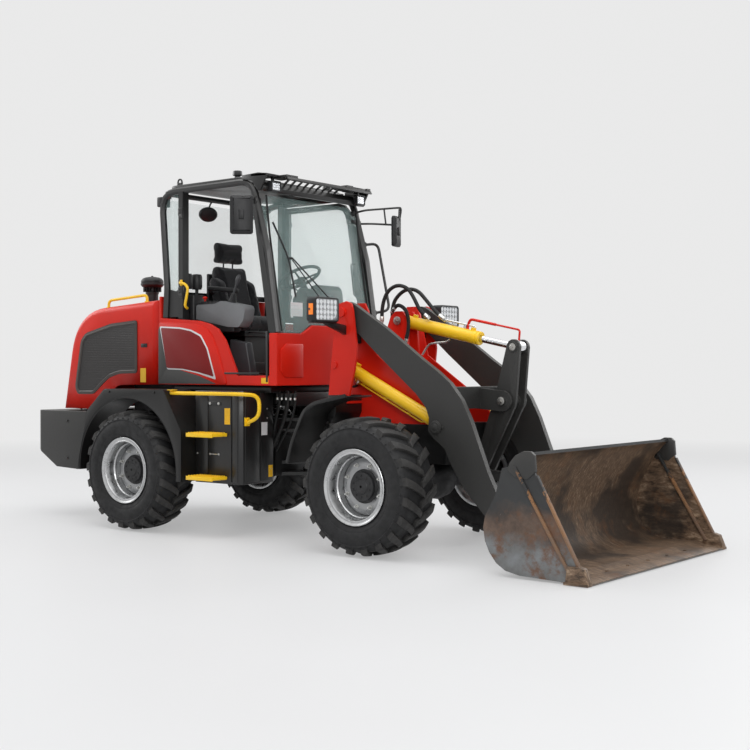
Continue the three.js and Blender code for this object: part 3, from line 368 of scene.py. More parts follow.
def rusty_edge():
    """A welded strip whose paint has gone: bright rust over brown steel."""
    made = Finish("rusty_strip", (0.2, 0.1, 0.05), 0.6, metallic=0.1)
    low = made.math("SUBTRACT", 0.62, made.height())
    patch = made.math("ADD", low, made.math("SUBTRACT", made.noise(14.0, 6, 0.7), 0.5))
    rusty = made.ramp(
        patch, (0.0, (0.024, 0.024, 0.024)), (0.10, (0.26, 0.125, 0.050)), (0.5, (0.17, 0.11, 0.075))
    )
    made.paint(rusty)
    return made.bump(made.noise(60.0, 5, 0.7), 0.3, 0.0015).material


def cloth_finish(name, color):
    """Seat fabric: a fine crossed weave with a soft sheen."""
    made = Finish(name, color, 0.86, sheen_weight=0.35, sheen_roughness=0.45, specular_ior_level=0.25)
    across = made.feed(made.add("TexWave"), Vector=made.place, Scale=170.0, Distortion=0.6)
    along = made.add("TexWave", bands_direction="Z")
    made.feed(along, Vector=made.place, Scale=170.0, Distortion=0.6)
    weave = made.math("MULTIPLY", across.outputs["Fac"], along.outputs["Fac"])
    made.paint(made.mix(weave, shade(color, 0.65), shade(color, 1.7)))
    return made.bump(made.math("ADD", weave, made.noise(90.0, 4)), 0.35, 0.0012).material


def glow_lens(name, color, strength, alpha=1.0):
    """A moulded lamp lens with fine vertical flutes."""
    made = Finish(name, color, 0.12, alpha=alpha, coat_weight=0.4, coat_roughness=0.04)
    flutes = made.add("TexWave", bands_direction="Y")
    made.feed(flutes, Vector=made.place, Scale=48.0)
    made.paint(made.mix(flutes.outputs["Fac"], shade(color, 0.72), shade(color, 1.1)))
    made.set("Emission Color", (*color, 1))
    made.set("Emission Strength", strength)
    return made.bump(flutes.outputs["Fac"], 0.4, 0.002).material


def perforated_finish(name, color):
    """Punched sheet: dark round holes in rows."""
    made = Finish(name, color, 0.5)
    cells = made.add("TexVoronoi", feature="F1")
    made.feed(cells, Vector=made.place, Scale=62.0, Randomness=0.0)
    holes = made.ramp(cells.outputs["Distance"], (0.30, 0.0), (0.38, 1.0))
    made.paint(made.mix(holes, (0.004, 0.004, 0.004), color))
    return made.bump(holes, 0.8, 0.002).material


RED = sprayed("red_body_paint", (0.66, 0.016, 0.006), 0.34, coat=0.05, dust=0.0, peel=0.0, shine=0.26)
GREY = sprayed("dark_grey_paint", (0.027, 0.0265, 0.025), 0.46, coat=0.0, dust=0.05, peel=0.06)
BLACK = sprayed("black_frame_paint", (0.0085, 0.0085, 0.0085), 0.36, coat=0.1, dust=0.03, peel=0.03)
YELLOW = sprayed("yellow_paint", (0.98, 0.58, 0.014), 0.34, coat=0.1, dust=0.0, peel=0.0, shine=0.4)
SILVER = metal_finish("silver_rim_paint", (0.52, 0.525, 0.53), 0.30, (2, 2, 2))
# The dish colour is the rim's silver painted darker: painted shade of the recess deep inside the wheel.
RIM_SILVER_PAINTED_SHADE = metal_finish("rim_dish_painted_shade", (0.36, 0.365, 0.37), 0.36, (2, 2, 2))
IRON = cast_finish("black_casting", (0.017, 0.017, 0.018))
CHROME = metal_finish("hard_chrome", (0.80, 0.81, 0.83), 0.07)
ZINC = metal_finish("zinc_plate", (0.62, 0.62, 0.60), 0.28)
PIN_STEEL = metal_finish("pin_steel", (0.42, 0.41, 0.39), 0.34)
SIDEWALL = rubber_finish("tyre_sidewall", (0.0115, 0.0115, 0.012), tread=False)
# The lug rubber is made lighter than the sidewall's: a painted highlight of the light caught by the lug
# edges.
LUG_RUBBER_PAINTED_HIGHLIGHT = rubber_finish("tyre_tread_painted_highlight", (0.028, 0.027, 0.026))
HOSE = rubber_finish("hose_rubber", (0.012, 0.012, 0.012), tread=False)
SCOURED = worn_inside()
RUBBED = worn_outside()
RUSTY = rusty_edge()
GLASS = glass_finish("tinted_glass", (0.60, 0.82, 0.78), 0.13)
MIRROR = metal_finish("mirror_glass", (0.86, 0.88, 0.90), 0.02, (1, 1, 1))
SEAT_CLOTH = cloth_finish("seat_cloth", (0.016, 0.016, 0.018))
GREY_PLASTIC = plastic_finish("grey_console_plastic", (0.17, 0.175, 0.18), 0.5)
BLACK_PLASTIC = plastic_finish("black_plastic", (0.014, 0.014, 0.015), 0.48)
SOFT_GRIP = plastic_finish("soft_grip", (0.010, 0.010, 0.010), 0.7, 0.3)
AMBER = glow_lens("amber_lens", (0.95, 0.22, 0.01), 0.25)
CLEAR_LENS = glass_finish("clear_lens", (0.80, 0.84, 0.86), 0.10)
RED_LENS = glow_lens("red_lens", (0.55, 0.01, 0.01), 0.1)
REFLECTOR = metal_finish("lamp_reflector", (0.90, 0.91, 0.93), 0.08, (20, 20, 20))
MAROON = sprayed("maroon_insert", (0.20, 0.010, 0.010), 0.40, coat=0.0, dust=0.0, peel=0.0, shine=0.25)
MESH = perforated_finish("punched_sheet", (0.010, 0.007, 0.006))
BORDER = plastic_finish("grille_border", (0.050, 0.040, 0.035), 0.36)
DARK = sprayed("fender_paint", (0.0075, 0.0073, 0.0070), 0.33, coat=0.05, dust=0.02, peel=0.02, shine=0.35)
LEVER = plastic_finish("lever_plastic", (0.055, 0.056, 0.060), 0.35)
LABEL = sprayed("yellow_label", (0.82, 0.46, 0.01), 0.45, dust=0.0, peel=0.0)
WHITE_LABEL = sprayed("white_label", (0.66, 0.66, 0.66), 0.45, dust=0.0, peel=0.0)

SLOT_FINISH = {
    "red_paint": RED, "grey_paint": GREY, "black_paint": BLACK, "yellow_paint": YELLOW,
    "silver_paint": SILVER, "cast_iron": IRON, "chrome": CHROME, "worn_steel": RUBBED, "glass": GLASS,
    "tyre": SIDEWALL, "upholstery": SEAT_CLOTH, "cab_plastic": GREY_PLASTIC
}


# ---- Mesh helpers ----
MERGE_REACH = 1e-6
NODE_MERGE_REACH = 2e-5
FLAT_WITHIN = math.radians(1.5)
ROUND_OVER = math.radians(28)


def finished(name, bm, body, materials, slot=None, angle=35, replaces=()):
    """Makes the object of a bmesh, smooth below an angle, riding on its body."""
    mesh = bpy.data.meshes.new(name)
    bm.normal_update()
    bm.to_mesh(mesh)
    bm.free()
    for material in materials if isinstance(materials, (list, tuple)) else [materials]:
        mesh.materials.append(material)
    mesh.shade_smooth()
    mesh.set_sharp_from_angle(angle=math.radians(angle))
    piece = bpy.data.objects.new(name, mesh)
    bpy.context.collection.objects.link(piece)
    if body:
        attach(piece, body)
    if replaces:
        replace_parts(piece, *replaces)
    return piece


def raised(bm, faces):
    """Extrudes faces, and gives the vertices of the new ones."""
    grown = bmesh.ops.extrude_face_region(bm, geom=faces)["geom"]
    return [g for g in grown if isinstance(g, bmesh.types.BMVert)]


def bevel_edges(bm, width, segments=2, angle=30, edges=None):
    """Rounds the edges that turn by more than an angle."""
    if edges is None:
        limit = math.radians(angle)
        edges = [e for e in bm.edges if len(e.link_faces) == 2 and e.calc_face_angle(0) > limit]
    if edges:
        bmesh.ops.bevel(
            bm, geom=edges, offset=width, offset_type="OFFSET", segments=segments, profile=0.5,
            affect="EDGES", clamp_overlap=True, material=-1
        )


def node_copy(node):
    """A frame node's mesh with its loose triangles merged and its flat faces joined."""
    bm = bmesh.new()
    bm.from_mesh(nodes[node].data)
    bmesh.ops.remove_doubles(bm, verts=bm.verts, dist=NODE_MERGE_REACH)
    bmesh.ops.dissolve_limit(bm, angle_limit=FLAT_WITHIN, verts=bm.verts, edges=bm.edges)
    return bm


def round_over(piece, width, segments):
    """Rounds a piece's sharp edges with a modifier."""
    rounding = piece.modifiers.new("rounded_edges", "BEVEL")
    rounding.width = width
    rounding.segments = segments
    rounding.limit_method = "ANGLE"
    rounding.angle_limit = ROUND_OVER
    rounding.use_clamp_overlap = True
    return rounding


def refine(node, width=0.003, segments=2, materials=None, weld=0.0004):
    """A copy of a frame node with merged vertices and rounded edges, which stands for it."""
    bm = node_copy(node)
    bmesh.ops.remove_doubles(bm, verts=bm.verts, dist=weld)
    body = nodes[node]["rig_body"]
    slot = SLOT_OF[node]
    piece = finished(f"{node}_body", bm, body, materials or SLOT_FINISH[slot], slot, replaces=[node])
    round_over(piece, width, segments).harden_normals = True
    return piece


def block(bm, low, high, bevel=0.0, segments=2, turn=None):
    """Adds a box between two corners, turned by a matrix, with rounded edges."""
    made = bmesh.ops.create_cube(bm, size=1.0)["verts"]
    size = Vector(high) - Vector(low)
    bmesh.ops.scale(bm, vec=size, verts=made)
    bmesh.ops.translate(bm, vec=(Vector(low) + Vector(high)) / 2, verts=made)
    if turn:
        bmesh.ops.transform(bm, matrix=turn, verts=made)
    if bevel:
        edges = list({e for v in made for e in v.link_edges})
        bevel_edges(bm, bevel, segments, edges=edges)
    return made


def rod(bm, start, end, radius, sides=20, end_radius=None, bevel=0.0):
    """Adds a round bar between two points."""
    start, end = Vector(start), Vector(end)
    line = end - start
    turn = line.to_track_quat("Z", "Y").to_matrix().to_4x4()
    turn.translation = (start + end) / 2
    made = bmesh.ops.create_cone(
        bm, cap_ends=True, segments=sides, radius1=radius,
        radius2=radius if end_radius is None else end_radius, depth=line.length, matrix=turn
    )["verts"]
    if bevel:
        caps = {f for v in made for f in v.link_faces if len(f.verts) == sides}
        bevel_edges(bm, bevel, 2, edges=list({e for f in caps for e in f.edges}))
    return made


def turned(bm, profile, origin, axis, segments=64):
    """Spins a profile of (radius, distance along axis) points about an axis through origin."""
    axis = Vector(axis).normalized()
    side = axis.orthogonal().normalized()
    verts = [bm.verts.new(Vector(origin) + side * r + axis * d) for r, d in profile]
    edges = [bm.edges.new(pair) for pair in zip(verts, verts[1:])]
    bmesh.ops.spin(
        bm, geom=verts + edges, cent=origin, axis=axis, angle=math.tau, steps=segments, use_merge=True,
        use_duplicate=False
    )
    bmesh.ops.remove_doubles(bm, verts=bm.verts, dist=MERGE_REACH)


def closed_out(bm):
    """Closes a spun shape's seam and poles, and turns its faces outwards."""
    bmesh.ops.remove_doubles(bm, verts=bm.verts, dist=MERGE_REACH)
    bmesh.ops.recalc_face_normals(bm, faces=bm.faces)


# ---- Wheels ----
LUGS = 21
LUG_DEPTH = 0.030
CARCASS_CROWN = TYRE_RADIUS - LUG_DEPTH


def crown_radius(y, top):
    """The tread's radius, which drops towards the shoulder."""
    share = min(1.0, abs(y) / TYRE_HALF_WIDTH)
    return top - 0.030 * share**3.2


def tyre_carcass(bm, centre):
    half = TYRE_HALF_WIDTH
    crown = CARCASS_CROWN
    side = [
        (0.2556, 0.160), (0.2985, 0.1648), (0.3000, 0.176), (0.3060, 0.184), (0.3160, 0.1865),
        (0.3240, 0.190), (0.3400, 0.1975), (0.3480, 0.1975), (0.3520, 0.2010),
        (0.3900, half - 0.0006), (0.4300, half - 0.0010), (0.4340, half - 0.0030),
        (0.4480, half - 0.0050), (0.4510, half - 0.0012), (0.4560, half - 0.0012),
        (0.4590, half - 0.0062), (0.4780, half - 0.0170), (crown - 0.012, half - 0.040),
        (crown - 0.004, half - 0.085), (crown, 0.0)
    ]
    profile = side + [(r, -y) for r, y in side[-2::-1]] + [side[0]]
    turned(bm, profile, centre, (0, 1, 0), 96)


def tyre_lugs(bm, centre, direction):
    """Heavy chevron lugs, in two rows half a pitch apart."""
    half = TYRE_HALF_WIDTH
    template = bmesh.new()
    steps, across = 6, 2
    grid = bmesh.ops.create_grid(template, x_segments=steps, y_segments=across, size=0.5)["verts"]
    for v in grid:
        u, w = v.co.x + 0.5, v.co.y
        y = -0.012 + u * (half - 0.004)
        width = 0.050 + 0.020 * u
        sweep = direction * (0.115 * u**0.85)
        angle = (w * width) / TYRE_RADIUS + sweep / TYRE_RADIUS
        radius = crown_radius(y, TYRE_RADIUS - 0.0006)
        v.co = Vector((radius * math.sin(angle), y, radius * math.cos(angle)))
    top = template.faces[:]
    for v in raised(template, top):
        y = v.co.y
        radius = crown_radius(y, CARCASS_CROWN) - 0.006
        if y > half - 0.03:
            radius -= 0.030
        scale = radius / math.hypot(v.co.x, v.co.z)
        v.co.x *= scale
        v.co.z *= scale
    bmesh.ops.recalc_face_normals(template, faces=template.faces)
    rim_edges = [
        e for e in template.edges if len(e.link_faces) == 2 and e.calc_face_angle(0) > math.radians(40)
        and all(math.hypot(v.co.x, v.co.z) > TYRE_RADIUS - 0.034 for v in e.verts)
    ]
    bevel_edges(template, 0.0045, 2, edges=rim_edges)
    mesh = bpy.data.meshes.new("lug_pattern")
    template.to_mesh(mesh)
    template.free()
    pitch = math.tau / LUGS
    for row in (0, 1):
        for i in range(LUGS):
            before = len(bm.verts)
            bm.from_mesh(mesh)
            bm.verts.ensure_lookup_table()
            verts = bm.verts[before:]
            if row:
                bmesh.ops.scale(bm, vec=(1, -1, 1), verts=verts)
                bmesh.ops.reverse_faces(bm, faces=list({f for v in verts for f in v.link_faces}))
            turn = Matrix.Rotation(pitch * (i + 0.5 * row), 4, "Y")
            bmesh.ops.transform(bm, matrix=Matrix.Translation(centre) @ turn, verts=verts)
    bpy.data.meshes.remove(mesh)


def sidewall_ribs(bm, centre):
    """Short radial ribs on both shoulders."""
    for side in (-1, 1):
        for i in range(LUGS * 2):
            turn = Matrix.Rotation(math.tau * i / (LUGS * 2), 4, "Y")
            y = side * (TYRE_HALF_WIDTH - 0.0105)
            made = block(bm, (-0.006, y - 0.006, 0.441), (0.006, y + 0.0075, 0.470))
            bmesh.ops.transform(bm, matrix=Matrix.Translation(centre) @ turn, verts=made)


def make_tyre(corner, direction):
    node = f"tyre_{corner}"
    centre = middle(node)
    carcass = bmesh.new()
    tyre_carcass(carcass, centre)
    closed_out(carcass)
    body = f"wheel_{corner}"
    finished(f"{node}_carcass", carcass, body, SIDEWALL, "tyre", 40, [node])
    lugs = bmesh.new()
    tyre_lugs(lugs, centre, direction)
    # The lugs take the lighter rubber, whose extra lightness is a painted highlight.
    finished(f"{node}_lugs", lugs, body, LUG_RUBBER_PAINTED_HIGHLIGHT, "tyre", 30)
    ribs = bmesh.new()
    sidewall_ribs(ribs, centre)
    finished(f"{node}_ribs", ribs, body, SIDEWALL, "tyre", 30)


def make_rim(corner, side):
    """A deep dished wheel: bright outer barrel, a dish darkened with painted shade of the deep wheel, black
    hub with its studs.
    """
    node = f"rim_{corner}"
    centre = middle(f"tyre_{corner}")
    body = f"wheel_{corner}"
    axis = Vector((0, side, 0))
    barrel = bmesh.new()
    profile = [
        (0.236, -0.060), (0.240, -0.166), (0.262, -0.186), (0.280, -0.190), (0.294, -0.192),
        (0.2958, -0.1895), (0.2955, -0.176), (0.2880, -0.1715), (0.2640, -0.1690),
        (0.2540, -0.1620), (0.2540, 0.1620), (0.2640, 0.1690), (0.2880, 0.1715), (0.2955, 0.176),
        (0.2958, 0.1895), (0.2925, 0.1925), (0.2850, 0.1905), (0.2790, 0.1840), (0.2690, 0.1815),
        (0.2620, 0.1850), (0.2560, 0.1830), (0.2500, 0.1720), (0.2440, 0.1480), (0.2420, 0.1420),
        (0.2400, 0.1000), (0.2335, 0.0940), (0.2300, 0.0860), (0.2290, 0.0400), (0.2240, 0.0300),
        (0.2240, -0.0500), (0.236, -0.060)
    ]
    turned(barrel, profile, centre, axis, 96)
    closed_out(barrel)
    finished(f"{node}_barrel", barrel, body, SILVER, "silver_paint", 40, [node])
    dish = bmesh.new()
    profile = [
        (0.095, 0.052), (0.150, 0.056), (0.158, 0.060), (0.186, 0.060), (0.196, 0.055), (0.2236, 0.034),
        (0.2236, 0.020), (0.194, 0.040), (0.186, 0.046), (0.150, 0.042), (0.095, 0.040), (0.095, 0.052)
    ]
    turned(dish, profile, centre, axis, 72)
    closed_out(dish)
    # The dish takes the darker silver, which is painted shade.
    finished(f"{node}_dish", dish, body, RIM_SILVER_PAINTED_SHADE, "silver_paint", 40)
    bolts = bmesh.new()
    for i in range(8):
        turn = Matrix.Rotation(math.tau * (i + 0.5) / 8, 4, "Y")
        start = turn @ Vector((0, side * 0.058, 0.172))
        rod(bolts, centre + start, centre + start + axis * 0.010, 0.0165, 24)
        rod(bolts, centre + start, centre + start + axis * 0.026, 0.0125, 6, bevel=0.0015)
        rod(bolts, centre + start, centre + start + axis * 0.038, 0.0075, 16, bevel=0.001)
    finished(f"{node}_nuts", bolts, body, ZINC, "silver_paint", 30)
    hub = bmesh.new()
    profile = [
        (0.0, 0.1000), (0.055, 0.1000), (0.058, 0.0975), (0.062, 0.0930), (0.104, 0.0930),
        (0.112, 0.0895), (0.115, 0.0830), (0.115, 0.0660), (0.122, 0.0600), (0.130, 0.0590),
        (0.133, 0.0560), (0.133, 0.0530), (0.094, 0.0530), (0.094, -0.0590), (0.0, -0.0590)
    ]
    turned(hub, profile, centre, axis, 64)
    closed_out(hub)
    for i in range(10):
        turn = Matrix.Rotation(math.tau * i / 10, 4, "Y")
        start = turn @ Vector((0, side * 0.0925, 0.084))
        rod(hub, centre + start, centre + start + axis * 0.0060, 0.0085, 6, bevel=0.001)
    rod(hub, centre + axis * 0.095, centre + axis * 0.1000, 0.012, 6, bevel=0.001)
    plug = Vector((0.030, side * 0.095, 0.012))
    rod(hub, centre + plug, centre + plug + axis * 0.0048, 0.009, 6, bevel=0.001)
    finished(f"{node}_hub", hub, body, IRON, "silver_paint", 35)
    valve = bmesh.new()
    foot = centre + Matrix.Rotation(1.9, 4, "Y") @ Vector((0, side * 0.085, 0.232))
    rod(valve, foot, foot + Vector((0, side * 0.045, 0)) + (centre - foot) * 0.05, 0.004, 10, bevel=0.001)
    finished(f"{node}_valve", valve, body, ZINC, "silver_paint", 30)


def make_wheels():
    for corner, side in (("front_right", -1), ("front_left", 1), ("rear_right", -1), ("rear_left", 1)):
        make_tyre(corner, -1)
        make_rim(corner, side)


# ---- Floor ----
def make_floor():
    bm = bmesh.new()
    bmesh.ops.create_grid(bm, x_segments=1, y_segments=1, size=FLOOR_HALF)
    mesh = bpy.data.meshes.new("floor")
    bm.to_mesh(mesh)
    bm.free()
    made = Finish("studio_floor", (FLOOR_GREY,) * 3, 0.42, specular_ior_level=0.2)
    made.paint(spread(made, made.noise(0.7, 3), 0.38, 0.46), "Roughness")
    tree = made.tree
    output = tree.nodes["Material Output"]
    seen = made.feed(made.add("Emission"), Color=BACKDROP, Strength=1.0)
    far = made.feed(made.add("VectorMath", operation="LENGTH"), i0=made.place).outputs["Value"]
    edge = made.add("MapRange")
    made.feed(edge, Value=far, i1=5.0, i2=16.0, i3=0.40, i4=1.0)
    mixed = made.add("MixShader")
    rays = made.add("LightPath").outputs
    seen_ray = made.math("MAXIMUM", rays["Is Camera Ray"], rays["Is Glossy Ray"])
    seen_ray = made.math("MAXIMUM", seen_ray, rays["Is Transmission Ray"])
    tree.links.new(made.math("MULTIPLY", edge.outputs[0], seen_ray), mixed.inputs[0])
    tree.links.new(made.shader.outputs[0], mixed.inputs[1])
    tree.links.new(seen.outputs[0], mixed.inputs[2])
    tree.links.new(mixed.outputs[0], output.inputs["Surface"])
    mesh.materials.append(made.material)
    floor = bpy.data.objects.new("floor", mesh)
    bpy.context.collection.objects.link(floor)


# ---- Plates, pipes and fastenings ----
PLACE = {
    "x": lambda u, v, w: at(w, u, v), "y": lambda u, v, w: at(u, w, v), "z": lambda u, v, w: at(u, v, w)
}


def slab(bm, outline, axis, low, high, bevel=0.0, segments=2):
    """A plate with its outline across an axis, between two places along that axis."""
    verts = [bm.verts.new(PLACE[axis](u, v, low)) for u, v in outline]
    face = bm.faces.new(verts)
    moved = raised(bm, [face])
    bmesh.ops.translate(bm, vec=PLACE[axis](0, 0, high) - PLACE[axis](0, 0, low), verts=moved)
    faces = list({f for v in verts + moved for f in v.link_faces})
    bmesh.ops.recalc_face_normals(bm, faces=faces)
    if bevel:
        edges = {e for f in faces for e in f.edges if e.calc_face_angle(0) > math.radians(28)}
        bevel_edges(bm, bevel, segments, edges=list(edges))


def box(bm, xs, ys, zs, bevel=0.0, segments=2):
    """A box between pairs of places measured from the middle of the wheelbase."""
    block(bm, at(xs[0], ys[0], zs[0]), at(xs[1], ys[1], zs[1]), bevel, segments)


def arc(centre, radius, first, last, steps):
    """Points of an arc in a plane, with its ends in degrees."""
    turns = [math.radians(first + (last - first) * i / steps) for i in range(steps + 1)]
    return [(centre[0] + radius * math.cos(t), centre[1] + radius * math.sin(t)) for t in turns]


def rounded(outline, reach, steps=4, closed=True):
    """An outline with its corners turned into curves that start a reach away from them."""
    points = [Vector(p) for p in outline]
    made = [] if closed else [points[0]]
    count = len(points)
    for i in range(count) if closed else range(1, count - 1):
        before, corner, after = points[i - 1], points[i], points[(i + 1) % count]
        one = corner + (before - corner).normalized() * min(reach, (before - corner).length * 0.49)
        two = corner + (after - corner).normalized() * min(reach, (after - corner).length * 0.49)
        for k in range(steps + 1):
            t = k / steps
            made.append(one * (1 - t) ** 2 + corner * (2 * t * (1 - t)) + two * t**2)
    if not closed:
        made.append(points[-1])
    return made


def pipe(bm, points, radius, bend=0.05, sides=16, steps=6):
    """A round tube along a line of points whose corners are bent, with closed ends."""
    path = rounded([tuple(p) for p in points], bend, steps, closed=False)
    rings = []
    side = None
    for i, place in enumerate(path):
        ahead = (path[min(i + 1, len(path) - 1)] - path[max(i - 1, 0)]).normalized()
        side = ahead.orthogonal() if side is None else side - ahead * side.dot(ahead)
        side.normalize()
        turn = Matrix((side, ahead.cross(side), ahead)).transposed().to_4x4()
        turn.translation = place
        ring = bmesh.ops.create_circle(bm, segments=sides, radius=radius, matrix=turn)["verts"]
        rings.append(list({e for v in ring for e in v.link_edges}))
        if i == 0:
            first = ring
    for one, two in zip(rings, rings[1:]):
        bmesh.ops.bridge_loops(bm, edges=one + two)
    made = [bm.faces.new(first), bm.faces.new(ring)]
    shell = {f for edges in rings for e in edges for f in e.link_faces}
    bmesh.ops.recalc_face_normals(bm, faces=list(shell | set(made)))


def band(points, thickness):
    """The closed outline of a thin strip that follows a line of points."""
    line = [Vector(p) for p in points]
    inner = []
    for i, place in enumerate(line):
        ahead = (line[min(i + 1, len(line) - 1)] - line[max(i - 1, 0)]).normalized()
        inner.append(place + Vector((-ahead.y, ahead.x)) * thickness)
    return line + inner[::-1]


def bolt(bm, place, along, radius, washer=True):
    """A hexagon bolt head on its washer."""
    place, along = Vector(place), Vector(along).normalized()
    if washer:
        rod(bm, place, place + along * radius * 0.25, radius * 1.35, 20)
    rod(bm, place, place + along * radius * 0.95, radius, 6, bevel=radius * 0.12)


def mirrored_pair(make, name, body, *settings, **more):
    """Makes a piece on the right side, and its mirror image on the left."""
    for side, label in SIDES:
        bm = bmesh.new()
        make(bm)
        if side > 0:
            bmesh.ops.scale(bm, vec=(1, -1, 1), verts=bm.verts)
            bmesh.ops.reverse_faces(bm, faces=bm.faces)
        nodes_here = [n.format(label) for n in more.get("replaces", ())]
        rest = {k: v for k, v in more.items() if k != "replaces"}
        finished(f"{name}_{label}", bm, body, *settings, replaces=nodes_here, **rest)


# ---- Hood ----
HOOD_FRONT = -1.264
HOOD_TOP = 2.077
SHOULDER = 0.062


def hood_line(steps=10):
    """The hood's side view from its front foot over the top to the rear foot."""
    over = rounded([(HOOD_FRONT, HOOD_TOP), (-2.465, 2.000), (-2.650, 1.06)], 0.40, steps, closed=False)
    return [(HOOD_FRONT, 1.300)] + [tuple(p) for p in over]


def make_hood():
    half = HOOD_HALF
    bm = bmesh.new()
    arch = rounded(
        [(-2.650, 1.06), (-2.10, 1.06), (-1.85, 1.292), (HOOD_FRONT, 1.300)], 0.07, 4, closed=False
    )
    slab(bm, hood_line() + [tuple(p) for p in arch[1:-1]], "y", -half, half)
    front = at(HOOD_FRONT, 0, 0).x
    corner = [e for e in bm.edges if all(abs(v.co.x - front) < 1e-4 for v in e.verts)]
    bevel_edges(bm, 0.085, 1, edges=[e for e in corner if abs(e.verts[0].co.z - e.verts[1].co.z) > 0.1])
    top = []
    for e in bm.edges:
        slopes = [f.normal for f in e.link_faces]
        level = all(n.z > -0.15 for n in slopes) and e.calc_face_angle(0) > math.radians(50)
        if level and any(abs(n.y) > 0.6 for n in slopes) and min(v.co.z for v in e.verts) > 1.05:
            if max(v.co.z for v in e.verts) > 1.31:
                top.append(e)
    bevel_edges(bm, SHOULDER, 6, edges=[e for e in top if all(v.co.x < front - 0.08 for v in e.verts)])
    under = [f for f in bm.faces if f.normal.z < -0.6 and f.calc_center_median().z < 1.45]
    bmesh.ops.delete(bm, geom=under, context="FACES_ONLY")
    piece = finished("hood_shell", bm, "hood", RED, "red_paint", 38, ["hood"])
    wall = piece.modifiers.new("wall", "SOLIDIFY")
    wall.thickness = 0.020
    wall.offset = -1
    seam = bmesh.new()
    for y in (-0.365, 0.365):
        rod(seam, at(-1.257, y - 0.033, 2.069), at(-1.257, y + 0.033, 2.069), 0.0066, 16)
    finished("hood_hinge_pins", seam, "hood", PIN_STEEL, "black_paint", 35)


GRILLE = [
    (-1.555, 1.893), (-1.918, 1.868), (-2.290, 1.785), (-2.362, 1.715), (-2.448, 1.270), (-2.415, 1.199),
    (-2.174, 1.202), (-2.034, 1.305), (-1.941, 1.362), (-1.805, 1.396), (-1.555, 1.403)
]


def grille_panel(bm):
    """A moulded surround with a sunk field of punched sheet."""
    outline = [tuple(p) for p in rounded(GRILLE, 0.035, 4)]
    verts = [bm.verts.new(at(x, -HOOD_HALF + 0.004, z)) for x, z in outline]
    face = bm.faces.new(verts)
    bmesh.ops.translate(bm, vec=(0, -0.014, 0), verts=raised(bm, [face]))
    bmesh.ops.recalc_face_normals(bm, faces=bm.faces)
    outer = min(bm.faces, key=lambda f: f.calc_center_median().y)
    bmesh.ops.inset_region(bm, faces=[outer], thickness=0.010, depth=0.0)
    bmesh.ops.inset_region(bm, faces=[outer], thickness=0.014, depth=0.003)
    bmesh.ops.inset_region(bm, faces=[outer], thickness=0.010, depth=-0.009)
    outer.material_index = 1
    rim = [e for e in bm.edges if e.calc_face_angle(0) > math.radians(60)]
    bevel_edges(bm, 0.003, 2, edges=rim)


def make_hood_details():
    mirrored_pair(grille_panel, "hood_grille", "hood", [BORDER, MESH], "black_paint", 20)
    lower, upper = at(-2.623, 0, 1.20), at(-2.520, 0, 1.73)
    slope = (upper - lower).normalized()
    out = Vector((-slope.z, 0, slope.x))
    rear = bmesh.new()
    fins = 14
    turn = Matrix((out, Vector((0, 1, 0)), slope)).transposed().to_4x4()
    for i in range(fins + 1):
        place = Matrix.Translation(lower.lerp(upper, i / fins) + out * 0.012)
        tip = Matrix.Rotation(math.radians(28), 4, "Y")
        block(rear, (-0.012, -0.44, -0.009), (0.012, 0.44, 0.009), 0.003, 1, place @ turn @ tip)
    for y in (-0.452, 0.452):
        aside = out * 0.012 + Vector((0, y, 0))
        rod(rear, lower - slope * 0.02 + aside, upper + slope * 0.02 + aside, 0.018, 12)
    finished("rear_louvre", rear, "hood", BLACK_PLASTIC, "black_paint", 35)
    back = bmesh.new()
    block(
        back, (-0.002, -0.46, -0.29), (0.002, 0.46, 0.29),
        turn=Matrix.Translation((lower + upper) / 2 + out * 0.002) @ turn
    )
    finished("rear_screen", back, "hood", MESH, "black_paint", 35)
    for label, finish, low, high in (
        ("tail_lamp", RED_LENS, 0.00, 0.09),
        ("turn_lamp", AMBER, 0.10, 0.15),
    ):
        bm = bmesh.new()
        for side in (-1, 1):
            spot = lower + slope * 0.02 + out * 0.016 + Vector((0, side * 0.56, 0))
            block(bm, (-0.010, -0.045, low), (0.012, 0.045, high), 0.008, 3, Matrix.Translation(spot) @ turn)
        finished(label, bm, "hood", finish, "cab_plastic", 35)
    latch = bmesh.new()
    for side in (-1, 1):
        y = side * HOOD_HALF
        box(latch, (-1.50, -1.42), sorted((y, y + side * 0.008)), (1.640, 1.675), 0.003)
        rod(latch, at(-1.46, y, 1.6575), at(-1.46, y + side * 0.013, 1.6575), 0.011, 20, bevel=0.002)
    finished("hood_latches", latch, "hood", BLACK_PLASTIC, "black_paint", 35)


def make_hood_rails():
    def rail(bm):
        z0, z1 = hood_height(-1.49), hood_height(-2.03)
        y = -HOOD_HALF + 0.06
        pipe(
            bm,
            [
                at(-1.49, y, z0 - 0.01), at(-1.49, y, z0 + 0.064), at(-2.03, y, z1 + 0.064),
                at(-2.03, y, z1 - 0.02)
            ],
            0.0135, 0.055
        )
        for x, z in ((-1.49, z0), (-2.03, z1 - 0.004)):
            rod(bm, at(x, y, z - 0.008), at(x, y, z + 0.006), 0.024, 20, bevel=0.002)

    mirrored_pair(rail, "hood_handrail", "hood", YELLOW, "yellow_paint", 40, replaces=["hood_rail_{}"])


def hood_height(x):
    return HOOD_TOP + (x - HOOD_FRONT) * (HOOD_TOP - 2.002) / (HOOD_FRONT + 2.436)


